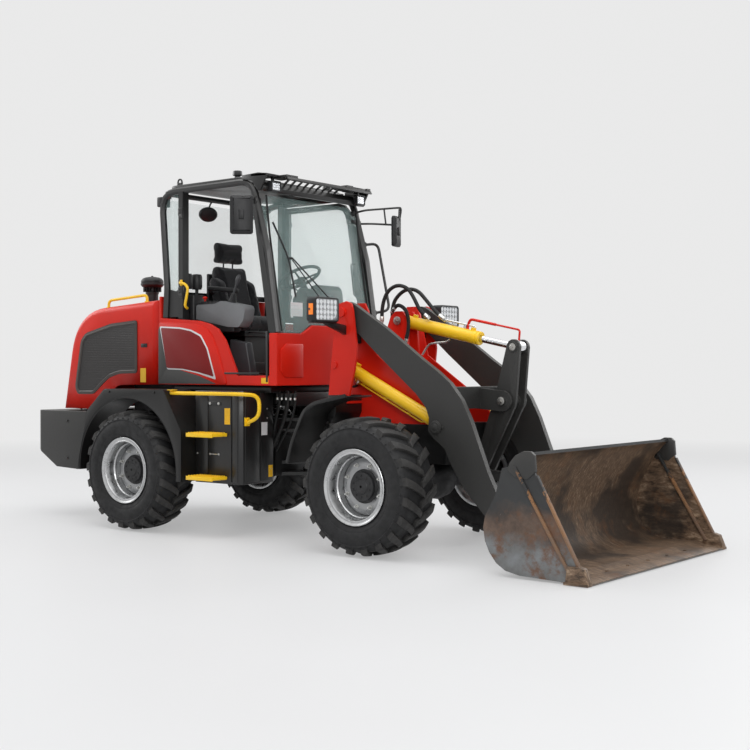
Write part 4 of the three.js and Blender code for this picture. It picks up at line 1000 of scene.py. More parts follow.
def make_precleaner():
    """The mushroom-shaped intake with its bowl and vaned collar."""
    foot = hood_height(-1.838) - 0.004
    centre = at(-1.90, -0.20, 0)
    bm = bmesh.new()
    profile = [(0, foot - 0.02), (0.075, foot - 0.02), (0.075, foot + 0.012), (0.060, foot + 0.016)]
    profile += [
        (0.058, 2.165), (0.064, 2.170), (0.064, 2.186), (0.048, 2.192), (0.048, 2.222), (0.094, 2.236)
    ]
    profile += [
        (0.1115, 2.256), (0.112, 2.268), (0.106, 2.274), (0.109, 2.282), (0.107, 2.300), (0.092, 2.318)
    ]
    profile += [(0.066, 2.3295), (0.030, 2.3355), (0, 2.336)]
    turned(bm, profile, centre, (0, 0, 1), 48)
    closed_out(bm)
    for i in range(18):
        turn = Matrix.Translation(centre) @ Matrix.Rotation(math.tau * i / 18, 4, "Z")
        block(bm, (0.046, -0.002, 2.190), (0.088, 0.002, 2.232), turn=turn)
    rod(bm, centre + Vector((0, 0, 2.334)), centre + Vector((0, 0, 2.3455)), 0.011, 6, bevel=0.002)
    finished("intake_precleaner", bm, "hood", BLACK_PLASTIC, "cab_plastic", 35, ["air_precleaner"])


# ---- Cab side panels ----
QUARTER_INSERT = [
    (-1.216, 1.815), (-0.971, 1.801), (-0.830, 1.778), (-0.706, 1.728), (-0.626, 1.618),
    (-0.536, 1.372), (-0.726, 1.413), (-0.930, 1.443), (-1.138, 1.450)
]
QUARTER_STRIPE = [
    (-1.232, 1.8285), (-0.970, 1.815), (-0.824, 1.791), (-0.695, 1.741), (-0.611, 1.622),
    (-0.511, 1.347), (-0.722, 1.399), (-0.928, 1.432), (-1.133, 1.438)
]
QUARTER_FOOT = [
    (-1.249, 1.800), (-1.232, 1.8285), (-1.216, 1.815), (-1.138, 1.450), (-0.992, 1.438),
    (-0.726, 1.382), (-0.507, 1.311), (-1.249, 1.308)
]
QUARTER_SHELL = [
    (-1.249, 1.302), (-0.375, 1.302), (-0.492, 1.600), (-0.560, 1.736), (-0.648, 1.812),
    (-0.800, 1.846), (-1.249, 1.870)
]


def flat_panel(outline, depth, reach=0.02, bevel=0.0015):
    def made(bm):
        shape = [tuple(p) for p in rounded(outline, reach, 4)]
        slab(bm, shape, "y", -CAB_HALF - depth, -CAB_HALF + 0.004, bevel, 2)

    return made


def make_quarter_panels():
    body = "rear_chassis"
    shell = flat_panel(QUARTER_SHELL, 0.008, 0.05, 0.006)
    mirrored_pair(shell, "quarter_panel", body, RED, "red_paint", 40)
    foot = flat_panel(QUARTER_FOOT, 0.0095, 0.004, 0.001)
    mirrored_pair(foot, "quarter_foot_panel", body, GREY, "grey_paint", 30)
    stripe = flat_panel(QUARTER_STRIPE, 0.0105, 0.02, 0.0005)
    mirrored_pair(stripe, "quarter_pinstripe", body, WHITE_LABEL, "silver_paint", 30)
    insert = flat_panel(QUARTER_INSERT, 0.0115, 0.02, 0.0005)
    mirrored_pair(insert, "quarter_insert", body, MAROON, "red_paint", 30)
    plates = bmesh.new()
    for y in (-1, 1):
        ys = sorted((y * (CAB_HALF - 0.002), y * (CAB_HALF + 0.0015)))
        box(plates, (0.023, 0.103), ys, (1.318, 1.366), 0.0006, 1)
    finished("sill_reflectors", plates, body, LABEL, "yellow_paint", 30)
    tags = bmesh.new()
    for y in (-1, 1):
        ys = sorted((y * (HOOD_HALF - 0.002), y * (HOOD_HALF + 0.0015)))
        box(tags, (-1.515, -1.440), ys, (1.318, 1.448), 0.0006, 1)
    finished("hood_reflectors", tags, "hood", LABEL, "yellow_paint", 30)


# ---- Rear fenders, side boxes, steps and rails ----
REAR_X = -1.321
FENDER_EDGE = [
    (-0.610, 0.470), (-0.610, 0.905), (-0.836, 1.262), (-1.621, 1.262), (-1.861, 1.064), (-2.016, 0.515)
]


def rear_fender(bm):
    outer, inner = -1.030, -0.702
    arch = arc((REAR_X, WHEEL_Z), 0.655, -6, 182, 40)
    edge = [tuple(p) for p in rounded(FENDER_EDGE, 0.018, 3, closed=False)]
    slab(bm, edge + arch[::-1], "y", outer, outer + 0.012, 0.003, 2)
    slab(bm, band(edge, 0.010), "y", outer + 0.002, inner, 0.0)
    slab(bm, band(arch, 0.012), "y", outer + 0.004, inner, 0.0)
    for x, z in ((-1.55, 1.236), (-0.95, 1.236)):
        bolt(bm, at(x, outer, z), (0, -1, 0), 0.008)
    box(bm, (-1.40, -1.30), (-0.702, -0.302), (1.196, 1.226), 0.002)
    box(bm, (-1.40, -1.30), (-0.331, -0.304), (1.011, 1.226), 0.002)


def side_box(bm):
    outer, front, rear = -0.860, -0.060, -0.6097
    plan = [(rear, -0.460), (front, -0.460), (front, -0.830), (front - 0.030, outer), (rear, outer)]
    slab(bm, plan, "z", 0.462, 1.255, 0.005, 2)
    for x0, x1, depth in ((-0.600, -0.452, 0.006), (-0.440, -0.168, 0.009), (-0.158, -0.096, 0.005)):
        box(bm, (x0, x1), (outer - depth, outer + 0.004), (0.478, 1.236), 0.006, 2)
    for y0, y1 in ((-0.815, -0.640), (-0.628, -0.475)):
        box(bm, (front - 0.004, front + 0.007), (y0, y1), (0.480, 1.236), 0.006, 2)
    box(bm, (-0.445, -0.285), (outer - 0.014, outer), (1.130, 1.162), 0.004)
    box(bm, (-0.560, -0.420), (-0.470, -0.335), (0.760, 0.980), 0.003)


def side_box_bolts(bm):
    for x, z in ((-0.415, 1.146), (-0.312, 1.146)):
        bolt(bm, at(x, -0.873, z), (0, -1, 0), 0.009)
    for x, z in ((-0.575, 0.713), (-0.420, 0.713), (-0.315, 0.713)):
        bolt(bm, at(x, -0.868, z), (0, -1, 0), 0.007)
    rod(bm, at(-0.415, -0.877, 0.713), at(-0.318, -0.877, 0.713), 0.0045, 10)
    for y, z in ((-0.545, 1.10), (-0.545, 1.02), (-0.50, 0.58)):
        bolt(bm, at(-0.053, y, z), (1, 0, 0), 0.006)


def side_box_labels(bm):
    box(bm, (-0.245, -0.180), (-0.8712, -0.866), (0.970, 1.108), 0.0008, 1)
    box(bm, (-0.056, -0.0515), (-0.530, -0.478), (0.510, 0.612), 0.0008, 1)


def side_box_tag(bm):
    box(bm, (-0.056, -0.0515), (-0.618, -0.545), (0.873, 0.985), 0.0008, 1)


def step_treads(bm):
    """Two treads with a turned-down edge and a toothed grip."""
    outer, inner = -1.030, -0.8603
    for z in (0.494, 0.862):
        plan = [(-0.541, inner), (-0.215, inner), (-0.235, outer), (-0.541, outer)]
        slab(bm, plan, "z", z + 0.006, z + 0.034, 0.005, 2)
        lip = [
            (-0.548, outer + 0.004), (-0.228, outer + 0.004), (-0.228, outer - 0.004),
            (-0.548, outer - 0.004)
        ]
        slab(bm, lip, "z", z, z + 0.034, 0.003, 2)
        for row in range(5):
            y = outer + 0.014 + row * 0.034
            for i in range(12):
                x = -0.528 + i * 0.0262
                rod(bm, at(x, y, z + 0.032), at(x, y, z + 0.0405), 0.0085, 8, end_radius=0.0055)


def deck_rail(bm):
    y = -0.968
    z = 1.232
    pipe(
        bm,
        [
            at(-0.800, y, z), at(0.020, y, z), at(0.090, -0.800, z - 0.012), at(0.090, -0.792, 1.040),
            at(-0.052, -0.792, 0.985)
        ],
        0.0165, 0.075, 18
    )
    slab(bm, [(-0.815, 0.945), (-0.745, 0.945), (-0.745, 1.005), (-0.815, 1.005)], "z", 1.255, 1.262, 0.002)
    rod(bm, at(-0.80, y, z - 0.004), at(-0.80, y, 1.262), 0.010, 12)
    box(bm, (-0.0597, -0.050), (-0.822, -0.762), (0.958, 1.030), 0.003)
    for z_foot in (0.972, 1.020):
        bolt(bm, at(-0.050, -0.792, z_foot), (1, 0, 0), 0.006)


def front_fender(bm):
    """A thin sheet over the wheel with its outer edge turned down, on a bolted stay."""
    line = [(0.617, 0.690), (0.665, 0.850), (0.787, 1.098), (0.883, 1.163), (1.060, 1.200), (1.210, 1.226)]
    line = [tuple(p) for p in rounded(line, 0.05, 3, closed=False)]
    slab(bm, band(line, 0.009), "y", -1.020, -0.690)
    slab(bm, band([(x + 0.004, z - 0.006) for x, z in line], 0.030), "y", -1.026, -1.016, 0.003, 2)
    stay = [(0.770, 1.000), (0.800, 1.000), (0.850, 1.090), (0.850, 1.230), (0.770, 1.230)]
    slab(bm, stay, "y", -0.705, -0.334, 0.003, 2)
    for z in (1.05, 1.12):
        bolt(bm, at(0.812, -0.705, z), (0, -1, 0), 0.009)


def make_front_fenders():
    mirrored_pair(
        front_fender, "front_wheel_fender", "front_chassis", DARK, "grey_paint", 30,
        replaces=["front_fender_{}"]
    )


def make_side_works():
    body = "rear_chassis"
    mirrored_pair(
        rear_fender, "rear_wheel_fender", body, DARK, "grey_paint", 30, replaces=["rear_fender_{}"]
    )
    mirrored_pair(side_box, "side_cabinet", body, BLACK, "black_paint", 30, replaces=["side_box_{}"])
    mirrored_pair(side_box_bolts, "side_cabinet_bolts", body, ZINC, "silver_paint", 30)
    mirrored_pair(side_box_labels, "side_cabinet_reflectors", body, LABEL, "yellow_paint", 30)
    mirrored_pair(side_box_tag, "side_cabinet_tag", body, WHITE_LABEL, "silver_paint", 30)
    mirrored_pair(step_treads, "step_treads", body, YELLOW, "yellow_paint", 30, replaces=["steps_{}"])
    mirrored_pair(deck_rail, "deck_handrail", body, YELLOW, "yellow_paint", 40, replaces=["deck_rail_{}"])


def make_counterweight():
    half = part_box("counterweight")[1].y
    bm = bmesh.new()
    outline = [(-2.955, 0.652), (-2.670, 0.490), (-2.340, 0.478), (-2.215, 1.038), (-2.955, 1.038)]
    slab(bm, outline, "y", -half, half)
    rear = at(-2.955, 0, 0).x
    upright = [e for e in bm.edges if all(v.co.x < rear + 1e-3 and v.co.z > 0.6 for v in e.verts)]
    upright = [e for e in upright if abs(e.verts[0].co.y - e.verts[1].co.y) < 1e-4]
    bevel_edges(bm, 0.045, 2, edges=upright)
    bevel_edges(bm, 0.007, 3, angle=20)
    for side in (-1, 1):
        for x, z in ((-2.50, 0.580), (-2.50, 0.940)):
            rod(bm, at(x, side * (half - 0.004), z), at(x, side * (half + 0.0015), z), 0.019, 24)
            bolt(bm, at(x, side * half, z), (0, side, 0), 0.011, washer=False)
    for y in (-0.42, 0.42):
        rod(bm, at(-2.62, y, 1.034), at(-2.62, y, 1.041), 0.034, 24, bevel=0.002)
        pipe(
            bm, [at(-2.70, y, 1.030), at(-2.70, y, 1.075), at(-2.60, y, 1.075), at(-2.60, y, 1.030)],
            0.009, 0.03, 12
        )
    box(bm, (-2.9565, -2.930), (-0.14, 0.14), (0.700, 0.860), 0.006)
    finished("counterweight_casting", bm, "rear_chassis", GREY, "grey_paint", 35, ["counterweight"])
    hitch = bmesh.new()
    for z in (0.715, 0.828):
        slab(
            hitch, [(-2.990, -0.06), (-2.990, 0.06), (-2.900, 0.10), (-2.900, -0.10)], "z", z,
            z + 0.018, 0.003
        )
    rod(hitch, at(-2.972, 0, 0.700), at(-2.972, 0, 0.868), 0.016, 20, bevel=0.003)
    finished("tow_pin", hitch, "rear_chassis", PIN_STEEL, "silver_paint", 35)


# ---- Roof, visor and lamps ----
def make_roof():
    half = CAB_HALF
    bm = bmesh.new()
    plan = rounded(
        [(-1.190, -half + 0.045), (-0.200, -half + 0.03), (-0.200, half - 0.03), (-1.190, half - 0.045)],
        0.12, 5
    )
    slab(bm, [tuple(p) for p in plan], "z", 3.066, 3.101, 0.012, 3)
    inner = rounded([(-1.08, -0.56), (-0.30, -0.56), (-0.30, 0.56), (-1.08, 0.56)], 0.08, 4)
    slab(bm, [tuple(p) for p in inner], "z", 3.096, 3.108, 0.006, 3)
    for y in (-0.40, -0.20, 0.0, 0.20, 0.40):
        box(bm, (-1.00, -0.38), (y - 0.022, y + 0.022), (3.102, 3.114), 0.005, 2)
    side = [
        (-0.205, 3.068), (-0.205, 3.104), (-0.020, 3.112), (0.081, 3.098), (0.078, 3.076), (0.012, 2.960)
    ]
    side += [(-0.028, 2.964), (-0.090, 3.050)]
    for y in (-half, half - 0.018):
        slab(bm, side, "y", y, y + 0.018, 0.004, 2)
    for y0, y1 in ((-half, -0.520), (0.520, half)):
        slab(bm, [(-0.100, 3.084), (-0.100, 3.108), (0.081, 3.099), (0.078, 3.078)], "y", y0, y1, 0.002)
    lip = [(0.160, 3.074), (0.178, 3.078), (0.196, 3.050), (0.182, 3.044)]
    slab(bm, lip, "y", -0.545, 0.600, 0.003)
    for y in (-0.545, -0.470, 0.320, 0.590):
        wide = 0.05 if y in (-0.545, 0.590) else 0.09
        turn = Matrix.Translation(at(0.085, y + (0.02 if y < 0 else -0.02), 3.083))
        block(bm, (-0.100, -wide / 2, -0.010), (0.095, wide / 2, 0.012), 0.003, 1, turn)
    box(bm, (-0.230, -0.030), (-half + 0.02, half - 0.02), (3.026, 3.040), 0.003)
    box(bm, (-0.212, -0.196), (-half + 0.04, half - 0.04), (3.030, 3.090), 0.003)
    box(bm, (-0.040, 0.170), (0.330, 0.590), (3.074, 3.090), 0.004)
    for i in range(9):
        y = -0.42 + i * 0.085
        turn = Matrix.Translation(at(0.070, y, 3.060)) @ Matrix.Rotation(math.radians(-34), 4, "Z")
        turn = turn @ Matrix.Rotation(math.radians(-6), 4, "Y")
        block(bm, (-0.120, -0.010, -0.007), (0.115, 0.010, 0.007), 0.003, 1, turn)
    header = [
        (-0.080, 3.010), (-0.060, 3.036), (0.000, 3.036), (0.046, 2.985), (0.026, 2.952), (-0.020, 2.956)
    ]
    slab(bm, header, "y", -half + 0.012, half - 0.012, 0.004, 2)
    for x, y in ((-0.354, -0.60), (-0.354, 0.60), (-1.08, -0.60), (-1.08, 0.60)):
        rod(bm, at(x, y, 3.095), at(x, y, 3.128), 0.030, 20, 0.024, bevel=0.003)
        if x > -1:
            rod(bm, at(x, y, 3.125), at(x, y, 3.168), 0.044, 8, 0.038, bevel=0.006)
        else:
            pipe(
                bm,
                [
                    at(x - 0.03, y, 3.118), at(x - 0.02, y, 3.160), at(x + 0.02, y, 3.160),
                    at(x + 0.03, y, 3.118)
                ],
                0.008, 0.03, 10
            )
    finished("cab_roof_cap", bm, "rear_chassis", BLACK, "black_paint", 35, ["cab_roof"])


def lamp(name, body, place, width, height, depth, turn=0.0, marker=0, columns=4, rows=3):
    """A square work lamp: housing, bright cells behind a clear lens, and an optional side marker."""
    here = Matrix.Translation(place) @ Matrix.Rotation(math.radians(turn), 4, "Z")
    shell = bmesh.new()
    w, h = width / 2, height / 2
    block(shell, (-depth, -w, -h), (0, w, h), turn=here)
    way = here.to_3x3() @ Vector((1, 0, 0))
    along = [e for e in shell.edges if abs((e.verts[0].co - e.verts[1].co).normalized().dot(way)) > 0.9]
    bevel_edges(shell, min(w, h) * 0.30, 5, edges=along)
    verts = shell.verts
    front = max(
        {f for v in verts for f in v.link_faces},
        key=lambda f: (here.inverted() @ f.calc_center_median()).x
    )
    bmesh.ops.inset_region(shell, faces=[front], thickness=0.016 if marker else 0.010, depth=0)
    bmesh.ops.inset_region(shell, faces=[front], thickness=0.001, depth=-0.016)
    rear = min(shell.faces, key=lambda f: (here.inverted() @ f.calc_center_median()).x)
    bmesh.ops.inset_region(shell, faces=[rear], thickness=min(w, h) * 0.35, depth=depth * 0.30)
    bevel_edges(shell, 0.005, 2, 40)
    for i in range(5):
        y = -w * 0.7 + i * w * 0.35
        block(shell, (-depth - 0.012, y - 0.003, -h * 0.6), (-depth * 0.8, y + 0.003, h * 0.6), turn=here)
    finished(f"{name}_housing", shell, body, BLACK_PLASTIC, "black_paint", 30)
    cells = bmesh.new()
    for i in range(columns):
        for k in range(rows):
            y = (i + 0.5) / columns * (width - 0.032) - w + 0.016
            z = (k + 0.5) / rows * (height - 0.032) - h + 0.016
            size = min((width - 0.032) / columns, (height - 0.032) / rows) * 0.46
            bmesh.ops.create_cone(
                cells, cap_ends=True, segments=10, radius1=size * 0.45, radius2=size, depth=0.007,
                matrix=here @ Matrix.Translation((-0.0115, y, z)) @ Matrix.Rotation(
                    math.radians(90), 4, "Y"
                )
            )
    for i in range(columns + 1):
        y = i / columns * (width - 0.032) - w + 0.016
        block(cells, (-0.0155, y - 0.0015, -h + 0.014), (-0.006, y + 0.0015, h - 0.014), turn=here)
    for k in range(rows + 1):
        z = k / rows * (height - 0.032) - h + 0.016
        block(cells, (-0.0155, -w + 0.014, z - 0.0015), (-0.006, w - 0.014, z + 0.0015), turn=here)
    finished(f"{name}_cells", cells, body, REFLECTOR, "silver_paint", 30)
    glass = bmesh.new()
    block(glass, (-0.0045, -w + 0.0125, -h + 0.0125), (-0.001, w - 0.0125, h - 0.0125), 0.001, 1, here)
    finished(f"{name}_lens", glass, body, CLEAR_LENS, "glass", 30)
    if marker:
        side = bmesh.new()
        block(
            side, (-depth * 0.72, marker * w - 0.004, -h * 0.45),
            (-0.022, marker * (w + 0.005), h * 0.45), 0.004, 2, here
        )
        finished(f"{name}_marker", side, body, AMBER, "yellow_paint", 30)


def make_lamps():
    for side, label in SIDES:
        lamp(f"work_lamp_{label}", "rear_chassis", at(0.085, side * 0.575, 2.998), 0.118, 0.092, 0.052)
        lamp(f"rear_lamp_{label}", "rear_chassis", at(-1.300, side * 0.620, 2.965), 0.115, 0.090, 0.050, 180)
        lamp(
            f"headlamp_{label}", "front_chassis", at(0.888, side * 0.852, 1.916), 0.292, 0.196,
            0.094, 0, side, 6, 4
        )
        stays = bmesh.new()
        box(stays, (0.030, 0.050), sorted((side * 0.565, side * 0.590)), (2.955, 3.085), 0.003)
        box(stays, (-1.262, -1.190), sorted((side * 0.600, side * 0.625)), (2.990, 3.010), 0.003)
        finished(f"lamp_stays_{label}", stays, "rear_chassis", BLACK, "black_paint", 30)
        arm = bmesh.new()
        shape = [
            (0.3345, 1.645), (0.352, 1.645), (0.640, 1.748), (0.800, 1.796), (0.820, 1.812),
            (0.690, 1.816), (0.580, 1.800), (0.3345, 1.735)
        ]
        slab(arm, [(side * u, v) for u, v in shape], "x", 0.806, 0.846, 0.004, 2)
        box(arm, (0.795, 0.860), sorted((side * 0.700, side * 0.980)), (1.808, 1.822), 0.003)
        for y in (0.712, 0.992):
            box(arm, (0.812, 0.846), sorted((side * (y - 0.008), side * (y + 0.002))), (1.812, 1.930), 0.002)
            bolt(arm, at(0.829, side * (y + 0.002), 1.916), (0, side, 0), 0.010)
        for z in (1.665, 1.700):
            bolt(arm, at(0.846, side * 0.40, z), (1, 0, 0), 0.010)
        finished(
            f"headlamp_bracket_{label}", arm, "front_chassis", BLACK, "black_paint", 30,
            [f"headlight_{label}"]
        )


def make_mirrors():
    def head(name, place, turn, width, height):
        here = Matrix.Translation(place) @ Matrix.Rotation(math.radians(turn), 4, "Z")
        w, h = width / 2, height / 2
        bm = bmesh.new()
        block(bm, (-0.016, -w, -h), (0.010, w, h), 0.0, 1, here)
        bevel_edges(
            bm, 0.024, 4,
            edges=[
                e for e in bm.edges
                if abs((here.inverted().to_3x3() @ (e.verts[0].co - e.verts[1].co)).x) > 0.02
            ]
        )
        front = max(bm.faces, key=lambda f: (here.inverted() @ f.calc_center_median()).x)
        bmesh.ops.inset_region(bm, faces=[front], thickness=w * 0.35, depth=0.016)
        bevel_edges(bm, 0.004, 2, 35)
        block(bm, (0.014, -0.022, -0.040), (0.040, 0.022, 0.040), 0.008, 3, here)
        finished(f"{name}_shell", bm, "rear_chassis", BLACK_PLASTIC, "black_paint", 35)
        pane = bmesh.new()
        outline = rounded(
            [
                (-w + 0.006, -h + 0.006), (w - 0.006, -h + 0.006), (w - 0.006, h - 0.006),
                (-w + 0.006, h - 0.006)
            ],
            0.018, 4
        )
        verts = [pane.verts.new(here @ Vector((-0.0165, u, v))) for u, v in outline]
        face = pane.faces.new(verts)
        back = here.to_3x3() @ Vector((-0.0025, 0, 0))
        bmesh.ops.translate(pane, vec=back, verts=raised(pane, [face]))
        bmesh.ops.recalc_face_normals(pane, faces=pane.faces)
        finished(f"{name}_pane", pane, "rear_chassis", MIRROR, "chrome", 35)

    head("mirror_head_right", at(-0.112, -0.800, 2.750), -48, 0.196, 0.330)
    arm = bmesh.new()
    pipe(
        arm,
        [
            at(-0.062, -0.697, 2.880), at(-0.080, -0.790, 2.905), at(-0.112, -0.812, 2.900),
            at(-0.112, -0.812, 2.790)
        ],
        0.009, 0.03, 12
    )
    box(arm, (-0.090, -0.034), (-0.712, -0.690), (2.850, 2.910), 0.004)
    finished("mirror_arm_right", arm, "rear_chassis", BLACK, "black_paint", 35, ["mirror_right"])
    head("mirror_head_left", at(0.185, 0.977, 2.738), 14, 0.160, 0.288)
    arm = bmesh.new()
    pipe(
        arm,
        [at(-0.060, 0.690, 2.800), at(0.060, 0.760, 2.800), at(0.190, 1.010, 2.800), at(0.214, 1.020, 2.961)]
        + [at(0.205, 0.985, 2.961), at(0.080, 0.640, 2.913), at(-0.020, 0.600, 2.890)],
        0.0095,
        0.045,
        12,
    )
    rod(arm, at(0.130, 0.860, 2.945), at(0.136, 0.880, 2.800), 0.008, 12)
    rod(arm, at(0.205, 0.998, 2.950), at(0.200, 0.985, 2.700), 0.008, 12)
    box(arm, (-0.085, -0.020), (0.560, 0.705), (2.790, 2.826), 0.005)
    box(arm, (-0.060, -0.005), (0.575, 0.625), (2.870, 2.905), 0.005)
    finished("mirror_arm_left", arm, "rear_chassis", BLACK, "black_paint", 35, ["mirror_left"])
    half = CAB_HALF
    grab = bmesh.new()
    pipe(
        grab,
        [at(0.024, half - 0.003, 2.600), at(0.072, half + 0.140, 2.620), at(0.205, half + 0.150, 1.990)]
        + [at(0.146, half - 0.003, 1.960)],
        0.013,
        0.07,
        16,
    )
    for x, z in ((0.024, 2.600), (0.146, 1.960)):
        rod(grab, at(x, half - 0.012, z), at(x + 0.002, half + 0.004, z), 0.028, 20, bevel=0.002)
    finished("door_grab_rail", grab, "rear_chassis", BLACK, "black_paint", 35, ["door_handrail_left"])
    glass = bmesh.new()
    pipe(glass, [at(-1.17, -0.10, 3.03), at(-1.19, -0.12, 2.98), at(-1.19, -0.14, 2.90)], 0.008, 0.02, 10)
    turned(
        glass, [(0, 0), (0.078, 0), (0.088, 0.010), (0.075, 0.026), (0.030, 0.036), (0, 0.037)],
        at(-1.19, -0.14, 2.900), (0.55, -0.55, -0.75), 36
    )
    closed_out(glass)
    finished("inside_mirror", glass, "rear_chassis", BLACK_PLASTIC, "black_paint", 35)


def make_cab_fittings():
    wiper = bmesh.new()
    top, low = at(0.004, 0, 2.698), at(0.150, 0, 2.049)

    def on_glass(y, z, gap=0.022):
        share = (z - low.z) / (top.z - low.z)
        place = low.lerp(top, share)
        return Vector((place.x + gap, y, z))

    pipe(wiper, [on_glass(-0.560, 2.700), on_glass(-0.432, 2.394), on_glass(-0.425, 2.060)], 0.0085, 0.10, 8)
    rod(wiper, on_glass(-0.404, 2.401, 0.036), on_glass(0.020, 2.052, 0.036), 0.0065, 8)
    rod(wiper, on_glass(-0.404, 2.380, 0.036), on_glass(-0.110, 2.046, 0.036), 0.0055, 8)
    rod(wiper, on_glass(-0.432, 2.394, 0.010), on_glass(-0.404, 2.394, 0.044), 0.011, 12)
    for y in (0.020, -0.110):
        rod(wiper, on_glass(y, 2.046, -0.005), on_glass(y, 2.046, 0.050), 0.018, 16, bevel=0.003)
    box(wiper, (0.140, 0.160), (-0.170, 0.080), (2.020, 2.072), 0.006)
    finished("wiper", wiper, "rear_chassis", BLACK_PLASTIC, "black_paint", 35)
    handle = bmesh.new()
    y = -CAB_HALF - 0.030
    pipe(
        handle,
        [
            at(-0.960, -CAB_HALF + 0.02, 2.214), at(-0.955, y, 2.214), at(-0.880, y, 2.200),
            at(-0.838, y, 2.160)
        ] + [at(-0.880, y, 2.000), at(-0.900, -CAB_HALF + 0.02, 1.985)],
        0.0125, 0.03, 12
    )
    box(handle, (-0.972, -0.945), (-CAB_HALF - 0.006, -CAB_HALF + 0.030), (2.185, 2.240), 0.004)
    finished("pillar_handle", handle, "rear_chassis", YELLOW, "yellow_paint", 35)
    inner = bmesh.new()
    pipe(
        inner,
        [
            at(0.050, 0.655, 2.150), at(0.050, 0.590, 2.165), at(0.018, 0.590, 2.430),
            at(0.018, 0.655, 2.440)
        ],
        0.011, 0.04, 12
    )
    finished("inside_grab_handle", inner, "rear_chassis", BLACK_PLASTIC, "black_paint", 35)
    rubber = bmesh.new()
    for y in (-1, 1):
        for z in (2.140, 2.850):
            box(
                rubber, (-0.990, -0.930), sorted((y * (CAB_HALF - 0.008), y * (CAB_HALF + 0.012))),
                (z - 0.034, z + 0.034), 0.004
            )
            for dz in (-0.016, 0.016):
                bolt(rubber, at(-0.972, y * (CAB_HALF + 0.012), z + dz), (0, y, 0), 0.006)
    finished("hinge_blocks", rubber, "rear_chassis", BLACK, "black_paint", 35)
    frame_edge = bmesh.new()
    for y in (-1, 1):
        for x0, z0, x1, z1 in ((0.150, 1.760, 0.010, 2.600), (0.010, 2.600, -0.030, 2.930)):
            rod(frame_edge, at(x0 + 0.022, y * 0.606, z0), at(x1 + 0.022, y * 0.606, z1), 0.009, 8)
    finished("windscreen_seal", frame_edge, "rear_chassis", SOFT_GRIP, "black_paint", 35)


# ---- Inside the cab ----
def make_console():
    bm = bmesh.new()
    side = [
        (-0.891, 1.895), (-0.891, 2.017), (-0.658, 2.020), (-0.575, 2.045), (-0.300, 1.995),
        (-0.286, 1.960)
    ]
    side += [(-0.305, 1.867), (-0.363, 1.806), (-0.500, 1.812), (-0.900, 1.890)]
    slab(bm, [tuple(p) for p in rounded(side, 0.022, 4)], "y", -0.580, -0.455, 0.012, 4)
    finished("console_shell", bm, "rear_chassis", GREY_PLASTIC, "cab_plastic", 35, ["side_console"])
    low = bmesh.new()
    box(low, (-0.900, -0.440), (-0.565, -0.470), (1.765, 1.880), 0.012, 3)
    box(low, (-0.900, -0.740), (-0.540, -0.430), (1.302, 1.780), 0.01)
    box(low, (-0.880, -0.640), (-0.572, -0.430), (2.010, 2.036), 0.008, 3)
    for i in range(4):
        box(low, (-0.860 + i * 0.05, -0.825 + i * 0.05), (-0.556, -0.520), (2.030, 2.050), 0.004)
    rings = 6
    for i in range(rings):
        z = 2.010 + i * 0.0155
        lean = (z - 2.01) * 0.28
        rod(
            low, at(-0.505 + lean, -0.515, z + 0.012), at(-0.505 + lean + 0.003, -0.515, z + 0.0270),
            0.046 - i * 0.0045, 20, 0.034 - i * 0.0045
        )
    box(low, (-1.180, -1.160), (-0.620, 0.620), (1.310, 1.905), 0.004)
    box(low, (-1.150, -0.905), (-0.600, -0.455), (1.760, 2.110), 0.014, 3)
    finished("console_base", low, "rear_chassis", BLACK_PLASTIC, "cab_plastic", 35)
    knob = bmesh.new()
    profile = [
        (0, -0.045), (0.011, -0.045), (0.014, -0.030), (0.019, -0.005), (0.0205, 0.015),
        (0.018, 0.030), (0.010, 0.040), (0, 0.042)
    ]
    turned(knob, profile, at(-0.436, -0.515, 2.225), (0.40, 0, 1), 24)
    closed_out(knob)
    block(
        knob, (-0.010, -0.008, 0.020), (0.016, 0.008, 0.046), 0.004, 2,
        Matrix.Translation(at(-0.422, -0.515, 2.225))
    )
    rod(knob, at(-0.490, -0.515, 2.100), at(-0.448, -0.515, 2.200), 0.0085, 12)
    finished("lever_knob", knob, "rear_chassis", LEVER, "cab_plastic", 40)
    brake = bmesh.new()
    rod(brake, at(-0.860, -0.500, 2.036), at(-0.860, -0.500, 2.075), 0.010, 16)
    turned(
        brake, [(0, 0), (0.018, 0.002), (0.023, 0.012), (0.018, 0.024), (0, 0.027)],
        at(-0.860, -0.500, 2.070), (0, 0, 1), 20
    )
    finished("park_brake_knob", brake, "rear_chassis", RED, "red_paint", 40)
    rest = bmesh.new()
    turn = Matrix.Translation(at(-0.790, -0.340, 2.165)) @ Matrix.Rotation(math.radians(5.7), 4, "Y")
    block(rest, (-0.175, -0.035, -0.022), (0.175, 0.035, 0.022), 0.016, 4, turn)
    rod(rest, at(-0.950, -0.340, 2.160), at(-1.020, -0.250, 2.140), 0.014, 12)
    for y in (-0.56, -0.44):
        turned(
            rest,
            [(0, 2.165), (0.042, 2.168), (0.050, 2.190), (0.050, 2.285), (0.040, 2.305), (0, 2.310)],
            at(-1.03, y, 0), (0, 0, 1), 24
        )
        rod(rest, at(-1.03, y, 1.96), at(-1.03, y, 2.17), 0.016, 12)
    box(rest, (-1.120, -0.940), (-0.600, -0.400), (1.940, 1.968), 0.006)
    finished("armrest", rest, "rear_chassis", BLACK_PLASTIC, "cab_plastic", 40)
    box_low = bmesh.new()
    box(box_low, (-0.549, -0.296), (-0.500, -0.415), (1.303, 1.420), 0.012, 3)
    slab(
        box_low, [(-0.549, 1.410), (-0.549, 1.705), (-0.353, 1.674), (-0.296, 1.410)], "y", -0.500,
        -0.415, 0.010, 3
    )
    finished("step_box", box_low, "rear_chassis", LEVER, "cab_plastic", 35)


